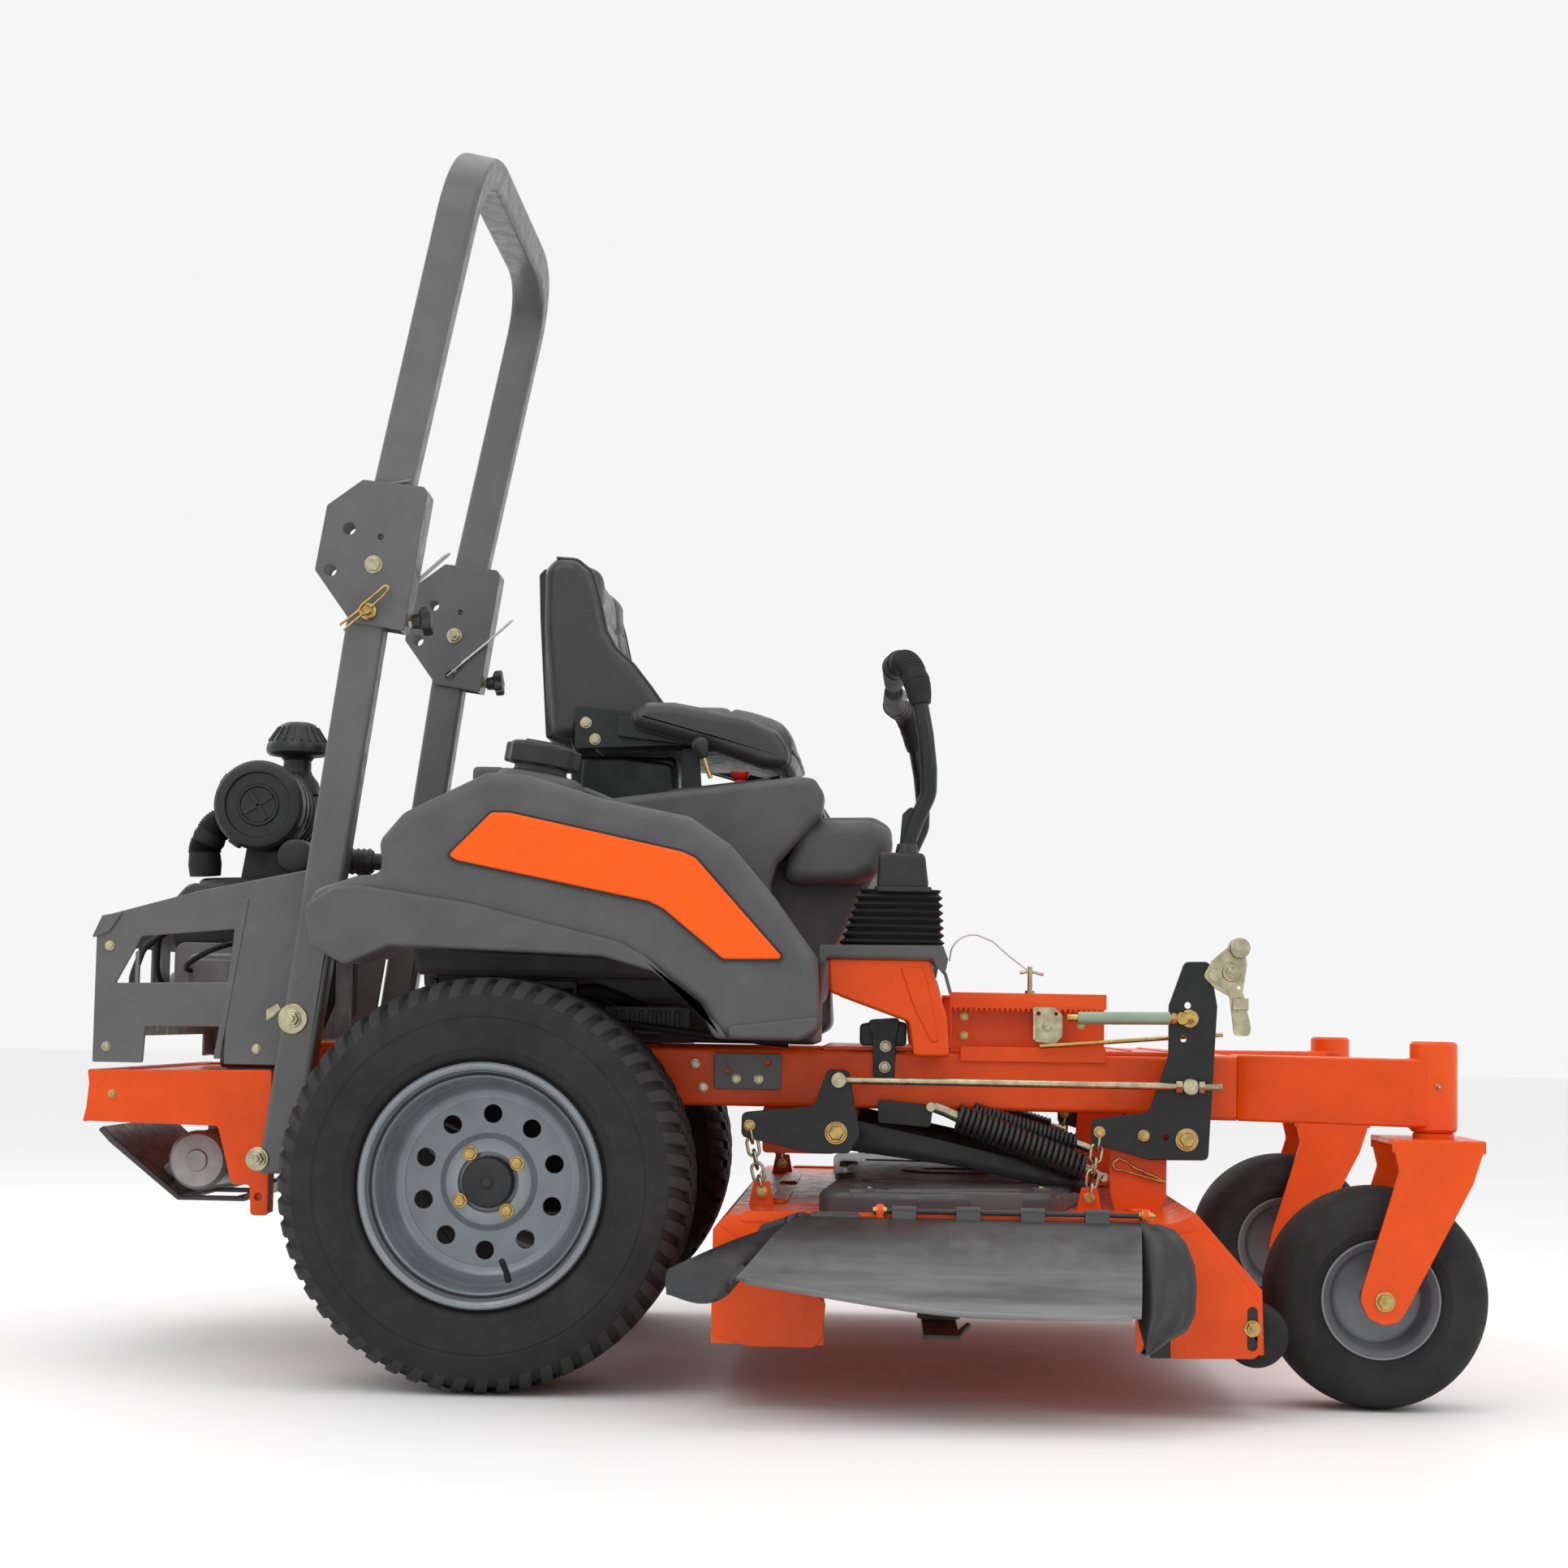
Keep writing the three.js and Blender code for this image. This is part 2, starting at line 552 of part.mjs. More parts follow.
const HUB_TOP = 802;
const LEVER_X = 608;
const LEVER_Y = 408;
function controls(name, s) {
  const boot = side([[497, 642], [497, 659], [569, 745], [660, 745], [668, 659], [662, 652],
    [645, 642]], s * (LEVER_Y - 40), s * (LEVER_Y + 42));
  piece(`lever_boot_${name}`, boot, FOAM);
  const hub = side([[563, 748], [565, HUB_TOP], [635, HUB_TOP], [642, 750]], s * (LEVER_Y - 36),
    s * (LEVER_Y + 38), 4);
  piece(`lever_hub_${name}`, hub, BLACK_PLASTIC);
  const y = s * LEVER_Y;
  const tube = bent([
    [LEVER_X, y, HUB_TOP + 10], [617, y, 843], [640, y, 892], [636, y - s * 4, 960],
    [622, y - s * 14, 1040],
  ], 12, 9);
  const grip = bent([
    [623, y - s * 13, 1036], [614, y - s * 24, 1078], [596, y - s * 56, 1096],
    [588, y - s * 110, 1099], [584, y - s * 200, 1100], [584, s * 60, 1100],
  ], 20, 12);
  piece(`lap_bar_${name}`, join(tube, grip), BLACK_STEEL);
}
for (const [name, s] of sides) controls(name, s);

const THROTTLE_Y = -345;
const throttle = join(
  rod([303, THROTTLE_Y, 916], [289, THROTTLE_Y, 956], 4, 8),
  rod([291, THROTTLE_Y, 950], [284, THROTTLE_Y, 976], 13, 8),
);
piece('throttle_lever', throttle, BLACK_PLASTIC);
const knob = turned([[0, 911], [8, 911], [8, 917], [18, 921], [18, 930], [0, 932]], 12, 'z');
piece('pto_knob', turnedBy(knob, new THREE.Matrix4().makeTranslation(346, -300, 0)), RED_PLASTIC);

// ---------- cutting deck ----------
const BLADES = [['right', 665, -452], ['centre', 790, 0], ['left', 665, 452]];
const HINGE_Y = -(DECK_HALF + 8);
const HINGE_Z = 268;
const CHAIN_FRONT_X = LIFT_FRONT_X - LIFT_ARM;
const CHAIN_REAR_X = LIFT_REAR_X - LIFT_ARM;
function deck() {
  const outside = [[341, 91], [341, 250], [360, 270], [985, 270], [1020, 285], [1112, 181],
    [1115, 91]];
  const t = DECK_WALL;
  const inside = [[341 + t, 60], [341 + t, 248], [362, 265], [987, 265], [1019, 277],
    [1107, 179], [1110, 60]];
  const pocket = { back: 1050, inner: 636 };
  let shell = cut(
    side(outside, -DECK_HALF, DECK_HALF),
    side(inside, -DECK_HALF + t, DECK_HALF - t),
  );
  // A pocket at each front corner takes an anti-scalp wheel.
  for (const [, s] of sides) {
    shell = join(shell, side([[pocket.back, 91], [pocket.back, 250], [1110, 181], [1110, 91]],
      s * pocket.inner, s * (DECK_HALF - 1)));
    shell = cut(shell, box([pocket.back + t, 1180], [s * (pocket.inner + t), s * (DECK_HALF - t)],
      [60, 240]));
    for (const x of [CHAIN_FRONT_X - 14, CHAIN_REAR_X + 20]) {
      shell = join(shell, side([[x - 20, 262], [x - 12, 304], [x + 12, 304], [x + 20, 262]],
        s * (LIFT_PLATE_Y - 4), s * (LIFT_PLATE_Y + 4)));
    }
  }
  const discharge = box([500, 936], [-DECK_HALF - 10, -DECK_HALF + t + 2], [60, 232]);
  shell = cut(shell, discharge);
  for (const [, x, y] of BLADES) shell = cut(shell, rod([x, y, 255], [x, y, 280], 15, 12));
  piece('deck_shell', shell, ORANGE);

  for (const [name, x, y] of BLADES) {
    const bar = [
      [x - 26, y - BLADE_RADIUS + 4], [x + 26, y - BLADE_RADIUS + 4],
      [x + 26, y + BLADE_RADIUS - 4], [x - 26, y + BLADE_RADIUS - 4],
    ];
    const blade = join(
      plan(bar, BLADE_Z - 3, BLADE_Z + 3),
      rod([x, y, BLADE_Z], [x, y, 284], 12, 12),
      rod([x, y, 282], [x, y, 295], 58, 16),
      rod([x, y, BLADE_Z + 2], [x, y, BLADE_Z + 16], 32, 12),
    );
    piece(`blade_${name}`, blade, BARE_STEEL);
  }

  const coverOutline = [[485, -600], [640, -640], [830, -560], [900, -180], [910, 180], [830, 560],
    [640, 640], [485, 600], [520, 0]];
  const inner = [[491, -592], [640, -632], [822, -554], [892, -180], [902, 180], [822, 554],
    [640, 632], [491, 592], [527, 0]];
  const cover = cut(plan(coverOutline, 270 + GAP, 302), plan(inner, 260, 298));
  piece('belt_cover', cover, BLACK_PLASTIC);

  // The discharge chute is a moulded sheet, hinged along the deck's right edge.
  const sheet = [[HINGE_Y - 1, 274], [-745, 268], [-800, 240], [-860, 198], [-900, 152],
    [-893, 148], [-854, 189], [-796, 230], [-743, 258], [HINGE_Y - 1, 264]];
  const cheek = [[HINGE_Y - 1, 272], [-745, 266], [-800, 238], [-860, 196], [-898, 152],
    [-880, 112], [-760, 112], [HINGE_Y - 1, 150]];
  const chute = join(
    front(sheet, 487, 962),
    front(cheek, 940, 950),
    plan([[487 + 60, -886], [291, -880], [333, -800], [487 + 60, -790]], 184, 192),
  );
  piece('discharge_chute', chute, BLACK_PLASTIC);

  const wheel = turned([[0, -25], [14, -25], [16, -22], [38, -22], [45, -14], [45, 14], [38, 22],
    [16, 22], [14, 25], [0, 25]], 16);
  for (const [name, s] of sides) {
    piece(`anti_scalp_wheel_${name}`, wheel, FOAM, [1107, s * 668, 116]);
  }
}
deck();

// ---------- deck lift ----------
function liftCranks() {
  const near = LIFT_PLATE_Y - 6;
  const far = LIFT_PLATE_Y + 6;
  const armTip = LIFT_ARM + 12;
  let frontCrank = crossRod(LIFT_FRONT_X, LIFT_Z, -near - 2, near + 2, 12, 12);
  let rearCrank = crossRod(LIFT_REAR_X, LIFT_Z, -near - 2, near + 2, 12, 12);
  const at = (x, points) => points.map(([dx, dz]) => [x + dx, LIFT_Z + dz]);
  const frontArm = [
    [44, 199], [32, 266], [-5, 265], [-28, 200], [-28, 125], [-57, 40], [-armTip, 28],
    [-armTip, -8], [-56, -31], [32, -30],
  ];
  const shortArm = [[20, 24], [-20, 40], [-armTip, 28], [-armTip, -8], [-56, -31], [28, -30]];
  const rearArm = [[36, -4], [16, 95], [-12, 95], [-34, 40], [-armTip, 28], [-armTip, -8],
    [-36, -31], [20, -30]];
  frontCrank = join(frontCrank, side(at(LIFT_FRONT_X, frontArm), -far, -near),
    side(at(LIFT_FRONT_X, shortArm), near, far));
  rearCrank = join(rearCrank, side(at(LIFT_REAR_X, rearArm), -far, -near),
    side(at(LIFT_REAR_X, shortArm), near, far));
  piece('front_lift_crank', frontCrank, BLACK_STEEL);
  piece('rear_lift_crank', rearCrank, BLACK_STEEL);

  const rodY = -(far + 14);
  const rodZ = LIFT_Z + LIFT_ROD_ARM;
  const tie = join(
    crossRod(LIFT_FRONT_X + 3, rodZ, -far - GAP, rodY - 8, 11, 12),
    crossRod(LIFT_REAR_X + 3, rodZ, -far - GAP, rodY - 8, 11, 12),
    rod([LIFT_REAR_X + 3, rodY, rodZ], [LIFT_FRONT_X + 48, rodY, rodZ], 5.5, 8),
  );
  piece('lift_tie_rod', tie, ZINC);

  const pedal = join(
    side([[1056, 626], [1096, 664], [1112, 664], [1124, 540], [1123, 534], [1099, 534],
      [1094, 590]], -far - 8, -far - 2, 8),
    crossRod(1104, 664, -far - 2, -far - 34, 15, 12),
    crossRod(1070, 624, -far - GAP, -far - 14, 9, 12),
  );
  piece('lift_pedal', pedal, ZINC);
}
liftCranks();

// ---------- one origin for everything: the middle of the footprint ----------
mower.updateMatrixWorld(true);
const reach = new THREE.Box3().setFromObject(mower, true);
machine.position.set(-(reach.min.x + reach.max.x) / 2, -(reach.min.y + reach.max.y) / 2, 0);

export default mower;
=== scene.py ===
"""The looks of the zero turn mower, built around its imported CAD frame.

Sizes are in millimetres in the machine's own frame: x = 0 at the rear axle, +X forward,
y = 0 on the centreline, +Y to the operator's left, z = 0 on the ground. at() turns them into
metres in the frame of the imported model.
"""
import json
from math import atan2, copysign, cos, exp, pi, radians, sin, tan

import bmesh
import bpy
from mathutils import Matrix, Vector
from mathutils.geometry import tessellate_polygon


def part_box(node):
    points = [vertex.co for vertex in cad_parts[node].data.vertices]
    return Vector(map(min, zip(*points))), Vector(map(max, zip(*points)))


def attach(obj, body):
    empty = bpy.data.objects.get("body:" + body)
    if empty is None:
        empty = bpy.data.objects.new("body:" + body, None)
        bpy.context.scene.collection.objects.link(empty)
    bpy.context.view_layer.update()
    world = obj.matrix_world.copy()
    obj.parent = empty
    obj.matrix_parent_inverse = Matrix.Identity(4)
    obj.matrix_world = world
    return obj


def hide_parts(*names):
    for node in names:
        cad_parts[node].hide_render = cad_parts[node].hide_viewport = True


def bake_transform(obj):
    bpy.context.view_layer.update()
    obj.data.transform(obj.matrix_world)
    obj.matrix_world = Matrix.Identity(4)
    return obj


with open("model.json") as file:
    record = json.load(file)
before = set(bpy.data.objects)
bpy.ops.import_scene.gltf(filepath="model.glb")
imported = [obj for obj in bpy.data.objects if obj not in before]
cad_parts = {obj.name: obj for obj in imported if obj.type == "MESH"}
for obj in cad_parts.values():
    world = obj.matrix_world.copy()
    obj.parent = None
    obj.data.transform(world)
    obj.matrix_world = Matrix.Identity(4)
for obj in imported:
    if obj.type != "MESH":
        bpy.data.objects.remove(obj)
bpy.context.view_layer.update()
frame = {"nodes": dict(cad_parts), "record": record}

MM = 0.001
# the sign of y on each side
RIGHT, LEFT = -1, 1
SIDES = (("right", RIGHT), ("left", LEFT))
X_AXIS, Y_AXIS, Z_AXIS = Vector((1, 0, 0)), Vector((0, 1, 0)), Vector((0, 0, 1))

# the driving dimensions, read from the frame
tyre_low, tyre_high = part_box("drive_tyre_right")
far_low, far_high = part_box("drive_tyre_left")
ORIGIN = Vector(((tyre_low[0] + tyre_high[0]) / 2, (tyre_low[1] + far_high[1]) / 2, 0))
DRIVE_RADIUS = (tyre_high[2] - tyre_low[2]) / 2 / MM
DRIVE_Y = (far_low[1] + far_high[1]) / 2 / MM - ORIGIN.y / MM
caster_low, caster_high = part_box("caster_tyre_left")
CASTER_RADIUS = (caster_high[2] - caster_low[2]) / 2 / MM
CASTER_X = ((caster_low[0] + caster_high[0]) / 2 - ORIGIN.x) / MM
CASTER_Y = ((caster_low[1] + caster_high[1]) / 2 - ORIGIN.y) / MM
CASTER_PIVOT_X = CASTER_X + 86
# distances from the centreline: sides of the rails, the posts and the engine guard, then the
# middles of the levers, the fuel caps, the lift springs and the push arms
RAIL_IN, RAIL_OUT, POST_IN, POST_OUT, GUARD_OUT = 285, 345, 398, 448, 396
LEVER_Y, CAP_Y, SPRING_Y, PUSH_ARM_Y = 408, 470, 384, 356
# the deck lift: the inner and outer side of its cranks, their axes and their arm
LIFT_NEAR, LIFT_FAR = 434, 446
LIFT_Z, LIFT_FRONT_X, LIFT_REAR_X, LIFT_ARM = 378, 1031, 508, 130


def at(x, y, z):
    """A machine point in millimetres as a row-frame point in metres."""
    return ORIGIN + Vector((x, y, z)) * MM


# ---------- camera, floor and light ----------

def linked(name, data):
    """A new object in the scene that shows data."""
    made = bpy.data.objects.new(name, data)
    bpy.context.scene.collection.objects.link(made)
    return made


# the photo's camera: its lens on a 36 mm sensor, its place and its three turns
LENS, CAMERA_PLACE = 67.9, (583, -4900, 551)
YAW, PITCH, ROLL = radians(2.09), radians(4.486), 0.0185


def camera():
    """The photo's own camera: on the machine's right, low, and turned a little to the rear."""
    data = bpy.data.cameras.new("camera")
    data.sensor_width = 36
    data.lens = LENS
    data.clip_end = 100
    seen = linked("camera", data)
    forward = Vector((-sin(YAW) * cos(PITCH), cos(YAW) * cos(PITCH), sin(PITCH)))
    level = forward.cross(Z_AXIS).normalized()
    up = level.cross(forward)
    right = level * cos(ROLL) + up * sin(ROLL)
    up = up * cos(ROLL) - level * sin(ROLL)
    place = at(*CAMERA_PLACE)
    seen.matrix_world = Matrix(((right.x, up.x, -forward.x, place.x), (right.y, up.y, -forward.y, place.y),
        (right.z, up.z, -forward.z, place.z), (0, 0, 0, 1)))
    bpy.context.scene.camera = seen
    bpy.context.scene.view_settings.view_transform = "Standard"


def studio():
    """A white floor and world with four soft lamps, as in the photo."""
    mesh = bpy.data.meshes.new("floor")
    reach = 30
    mesh.from_pydata([(-reach, -reach, 0), (reach, -reach, 0), (reach, reach, 0), (-reach, reach, 0)], [],
        [(0, 1, 2, 3)])
    floor = linked("floor", mesh)
    pale = bpy.data.materials.new("floor")
    pale.use_nodes = True
    shader = pale.node_tree.nodes["Principled BSDF"]
    shader.inputs["Base Color"].default_value = (0.93, 0.93, 0.93, 1)
    shader.inputs["Roughness"].default_value = 0.55
    mesh.materials.append(pale)
    world = bpy.data.worlds.new("studio")
    world.use_nodes = True
    world.node_tree.nodes["Background"].inputs["Color"].default_value = (1, 1, 1, 1)
    world.node_tree.nodes["Background"].inputs["Strength"].default_value = 0.92
    bpy.context.scene.world = world
    lamps = (("key", (-1.6, -3.4, 4.2), 3.0, 46), ("front", (3.6, -2.2, 3.2), 2.5, 20),
        ("rear", (-3.6, 2.6, 3.6), 2.5, 24), ("top", (0.0, 0.4, 4.6), 3.5, 34))
    for name, place, size, power in lamps:
        data = bpy.data.lights.new(name, "AREA")
        data.size = size
        data.energy = power
        lamp = linked(name, data)
        lamp.location = place
        aim = Vector((0, 0, 0.6)) - Vector(place)
        lamp.rotation_euler = aim.to_track_quat("-Z", "Y").to_euler()


# ---------- materials ----------
DUST = (0.16, 0.145, 0.125)


def finish_of(name, colour, rough, metallic=0.0, tint=0.12, grain=900, grain_depth=0.04, patch=14,
        rough_spread=0.12, coat=0.0, sheen=0.0, pattern="noise", wear=None, dust=0.0, specular=0.5,
        painted_sheen=None):
    """A procedural finish: patchy tone, uneven roughness, fine surface grain, worn edges, and where asked a
    painted sheen low down.
    """
    made = bpy.data.materials.new(name)
    made.use_nodes = True
    tree = made.node_tree
    nodes, links = tree.nodes, tree.links
    shader = nodes["Principled BSDF"]
    shader.inputs["Metallic"].default_value = metallic
    shader.inputs["Specular IOR Level"].default_value = specular
    shader.inputs["Coat Weight"].default_value = coat
    shader.inputs["Coat Roughness"].default_value = 0.18
    shader.inputs["Sheen Weight"].default_value = sheen
    where = nodes.new("ShaderNodeTexCoord").outputs["Object"]

    def noise(scale, detail=4.0, uneven=0.55):
        n = nodes.new("ShaderNodeTexNoise")
        n.inputs["Scale"].default_value = scale
        n.inputs["Detail"].default_value = detail
        n.inputs["Roughness"].default_value = uneven
        links.new(where, n.inputs["Vector"])
        return n.outputs["Fac"]

    def ramp(source, low, high, at_low=0.35, at_high=0.68):
        r = nodes.new("ShaderNodeValToRGB")
        r.color_ramp.elements[0].position, r.color_ramp.elements[1].position = at_low, at_high
        r.color_ramp.elements[0].color, r.color_ramp.elements[1].color = low, high
        links.new(source, r.inputs["Fac"])
        return r.outputs["Color"]

    def mixed(factor, under, over):
        """One colour laid over another by a factor."""
        mix = nodes.new("ShaderNodeMix")
        mix.data_type = "RGBA"
        links.new(factor, mix.inputs["Factor"])
        links.new(under, mix.inputs["A"])
        mix.inputs["B"].default_value = tuple(over) + (1,)
        return mix.outputs["Result"]

    dark = tuple(c * (1 - tint) for c in colour) + (1,)
    light = tuple(min(1, c * (1 + tint)) for c in colour) + (1,)
    tone = ramp(noise(patch), dark, light)
    if wear is not None:
        edge = nodes.new("ShaderNodeNewGeometry").outputs["Pointiness"]
        mask = ramp(edge, (0, 0, 0, 1), (0.55, 0.55, 0.55, 1), 0.54, 0.62)
        tone = mixed(mask, tone, wear)
    if dust:
        settled = ramp(noise(38, 8, 0.7), (0, 0, 0, 1), (dust, dust, dust, 1), 0.45, 0.75)
        tone = mixed(settled, tone, DUST)
    if painted_sheen is not None:
        # painted sheen: long pale streaks along X, strongest low down, standing in for the floor's light
        # reflected on the rubber
        low_z, high_z, pale = painted_sheen
        stretch = nodes.new("ShaderNodeMapping")
        stretch.inputs["Scale"].default_value = (1.6, 12, 26)
        links.new(where, stretch.inputs["Vector"])
        sheen_streaks = nodes.new("ShaderNodeTexNoise")
        sheen_streaks.inputs["Scale"].default_value = 2.2
        sheen_streaks.inputs["Detail"].default_value = 6
        links.new(stretch.outputs["Vector"], sheen_streaks.inputs["Vector"])
        height_of = nodes.new("ShaderNodeSeparateXYZ")
        links.new(where, height_of.inputs["Vector"])
        fall = nodes.new("ShaderNodeMapRange")
        fall.inputs["From Min"].default_value = low_z
        fall.inputs["From Max"].default_value = high_z
        fall.inputs["To Min"].default_value = 1
        fall.inputs["To Max"].default_value = 0
        links.new(height_of.outputs["Z"], fall.inputs["Value"])
        both = nodes.new("ShaderNodeMath")
        both.operation = "MULTIPLY"
        links.new(ramp(sheen_streaks.outputs["Fac"], (0.25, 0.25, 0.25, 1), (1, 1, 1, 1), 0.3, 0.75), both.inputs[0])
        links.new(fall.outputs["Result"], both.inputs[1])
        tone = mixed(both.outputs["Value"], tone, (pale, pale, pale))
    links.new(tone, shader.inputs["Base Color"])
    low, high = max(0.04, rough - rough_spread), min(1, rough + rough_spread)
    links.new(ramp(noise(patch * 3.1, 6), (low,) * 3 + (1,), (high,) * 3 + (1,), 0.3, 0.7),
        shader.inputs["Roughness"])
    if pattern == "noise":
        height = noise(grain, 2)
    else:
        cells = nodes.new("ShaderNodeTexVoronoi")
        if pattern == "leather":
            cells.feature = "DISTANCE_TO_EDGE"
        cells.inputs["Scale"].default_value = grain
        links.new(where, cells.inputs["Vector"])
        height = cells.outputs["Distance"]
    bump = nodes.new("ShaderNodeBump")
    bump.inputs["Strength"].default_value = 0.6
    bump.inputs["Distance"].default_value = grain_depth * MM
    links.new(height, bump.inputs["Height"])
    links.new(bump.outputs["Normal"], shader.inputs["Normal"])
    return made


ORANGE = finish_of("orange_powder_coat", (0.76, 0.072, 0.0015), 0.32, tint=0.07, grain=700,
    grain_depth=0.06, coat=0.08, wear=(0.82, 0.12, 0.015), specular=0.25)
PANEL_ORANGE = finish_of("orange_gloss_inset", (0.93, 0.105, 0.001), 0.26, tint=0.05, grain=900,
    grain_depth=0.02, coat=0.15, specular=0.2)
GREY_PAINT = finish_of("grey_powder_coat", (0.105, 0.105, 0.105), 0.38, tint=0.09, grain=800,
    grain_depth=0.07, coat=0.1, wear=(0.20, 0.20, 0.20), specular=0.4)
GREY_PLASTIC = finish_of("grey_moulded_plastic", (0.088, 0.088, 0.090), 0.50, tint=0.10, grain=1500,
    grain_depth=0.10, wear=(0.14, 0.14, 0.143), specular=0.35)
BLACK_PLASTIC = finish_of("black_moulded_plastic", (0.020, 0.0205, 0.022), 0.42, tint=0.2, grain=1100,
    grain_depth=0.12, wear=(0.05, 0.05, 0.052), specular=0.4)
# the chute rubber gets a painted sheen: pale streaks, brighter towards the bottom
CHUTE_RUBBER = finish_of("black_rubber_sheet", (0.028, 0.028, 0.029), 0.40, tint=0.3, grain=500,
    grain_depth=0.14, patch=9, rough_spread=0.14, wear=(0.05, 0.05, 0.05), painted_sheen=(0.155, 0.250, 0.30))
COVER_GREY = finish_of("dark_moulded_cover", (0.052, 0.052, 0.056), 0.42, tint=0.14, grain=1200,
    grain_depth=0.10, wear=(0.09, 0.09, 0.092))
BLACK_STEEL = finish_of("black_coated_steel", (0.012, 0.013, 0.014), 0.34, metallic=0.1, tint=0.18,
    grain=900, grain_depth=0.05, coat=0.1, wear=(0.07, 0.072, 0.075), specular=0.35)
TYRE = finish_of("tyre_rubber", (0.021, 0.021, 0.0215), 0.74, tint=0.22, grain=520, grain_depth=0.16,
    patch=9, dust=0.05, wear=(0.045, 0.045, 0.045), specular=0.25)
RIM = finish_of("silver_wheel_paint", (0.20, 0.225, 0.24), 0.34, metallic=0.35, tint=0.08, grain=1400,
    grain_depth=0.03, pattern="flake", coat=0.15, wear=(0.42, 0.45, 0.47))
CASTER_GREY = finish_of("grey_wheel_paint", (0.19, 0.195, 0.205), 0.40, metallic=0.25, tint=0.09,
    grain=1200, grain_depth=0.04, wear=(0.34, 0.35, 0.36))
ENGINE_BLACK = finish_of("engine_black", (0.018, 0.018, 0.020), 0.5, metallic=0.1, tint=0.25, grain=420,
    grain_depth=0.15, dust=0.05, wear=(0.05, 0.05, 0.052), specular=0.4)
CAST_GREY = finish_of("cast_aluminium", (0.22, 0.22, 0.225), 0.55, metallic=0.8, tint=0.15, grain=350,
    grain_depth=0.2, dust=0.12)
ALUMINISED = finish_of("aluminised_steel", (0.36, 0.355, 0.345), 0.52, metallic=0.5, tint=0.12, grain=500,
    grain_depth=0.08, dust=0.2)
DARK_STEEL = finish_of("dark_grey_steel", (0.055, 0.055, 0.056), 0.42, tint=0.12, grain=800,
    grain_depth=0.07, wear=(0.12, 0.12, 0.12), specular=0.4)
BARE_STEEL = finish_of("bare_steel", (0.50, 0.505, 0.51), 0.30, metallic=1.0, tint=0.12, grain=600,
    grain_depth=0.03, wear=(0.7, 0.7, 0.7))
ZINC = finish_of("yellow_zinc_plate", (0.47, 0.43, 0.29), 0.30, metallic=1.0, tint=0.25, patch=60,
    grain=900, grain_depth=0.02)
GOLD_ZINC = finish_of("gold_zinc_plate", (0.52, 0.36, 0.13), 0.28, metallic=1.0, tint=0.25, patch=80,
    grain=900, grain_depth=0.02)
GREEN_SLEEVE = finish_of("green_grey_sleeve", (0.26, 0.34, 0.24), 0.35, metallic=0.3, tint=0.10, grain=800,
    grain_depth=0.03)
VINYL = finish_of("seat_vinyl", (0.028, 0.028, 0.0295), 0.36, tint=0.14, grain=620, grain_depth=0.16,
    pattern="leather", sheen=0.04, specular=0.55)
FOAM = finish_of("soft_black_moulding", (0.014, 0.014, 0.015), 0.62, tint=0.18, grain=1000,
    grain_depth=0.14, specular=0.3)
RED_PLASTIC = finish_of("red_knob_plastic", (0.55, 0.012, 0.010), 0.30, tint=0.08, grain=900,
    grain_depth=0.02, coat=0.3)


# each material slot of the frame with its own finish first, then the others that stand in it
FINISHES = {"orange_paint": (ORANGE,), "panel_orange": (PANEL_ORANGE,), "grey_paint": (GREY_PAINT,),
    "grey_plastic": (GREY_PLASTIC,), "black_plastic": (BLACK_PLASTIC, COVER_GREY, CHUTE_RUBBER),
    "black_steel": (BLACK_STEEL,), "tyre_rubber": (TYRE,), "rim_silver": (RIM,),
    "caster_grey": (CASTER_GREY,), "engine_black": (ENGINE_BLACK, CAST_GREY), "bare_steel": (BARE_STEEL,
    ALUMINISED, DARK_STEEL), "zinc": (ZINC, GOLD_ZINC, GREEN_SLEEVE), "vinyl": (VINYL,), "foam": (FOAM,),
    "red_plastic": (RED_PLASTIC,),}


# ---------- shape helpers, all in machine millimetres ----------

def turned_at(place, angle, axis):
    """A turn about an axis, then a move to place."""
    return Matrix.Translation(place) @ Matrix.Rotation(angle, 4, axis)


def facing(place, towards):
    """Z turned towards a direction, then a move to place."""
    return Matrix.Translation(Vector(place)) @ Vector(towards).to_track_quat("Z", "Y").to_matrix().to_4x4()


def softened(points, radius, steps=5, closed=True):
    """The corners of a line rounded by up to radius, or each by its own radius."""
    line = [Vector(p) for p in points]
    radii = radius if isinstance(radius, list) else [radius] * len(line)
    if max(radii) <= 0:
        return line
    made = []
    last = len(line) - 1
    for i, here in enumerate(line):
        if not closed and i in (0, last):
            made.append(here)
            continue
        before, after = line[i - 1], line[(i + 1) % len(line)]
        to_before, to_after = before - here, after - here
        bend = to_before.angle(to_after, pi)
        if bend > radians(176):
            made.append(here)
            continue
        reach = min(radii[i] / tan(bend / 2), to_before.length / 2.05, to_after.length / 2.05)
        enter, leave = here + to_before.normalized() * reach, here + to_after.normalized() * reach
        for k in range(steps + 1):
            t = k / steps
            made.append(enter * (1 - t) ** 2 + here * 2 * t * (1 - t) + leave * t * t)
    return made


def around(count):
    """Evenly spaced angles round a full turn."""
    return [2 * pi * i / count for i in range(count)]


def circle(u, v, radius, count=24):
    """A round outline."""
    turn = 2 * pi / count
    return [(u + radius * cos(i * turn), v + radius * sin(i * turn)) for i in range(count)]


def slotted(u0, v0, u1, v1, radius, count=16):
    """A slot with round ends from (u0, v0) to (u1, v1)."""
    along = atan2(v1 - v0, u1 - u0)
    half = count // 2
    ends = []
    for cu, cv, start in ((u1, v1, along - pi / 2), (u0, v0, along + pi / 2)):
        ends += [(cu + radius * cos(start + pi * i / half),
            cv + radius * sin(start + pi * i / half)) for i in range(half + 1)]
    return ends


def halved(line):
    """A line with a point added in the middle of each stretch."""
    made = []
    for a, b in zip(line, line[1:]):
        made += [a, a.lerp(b, 0.5)]
    return made + line[-1:]


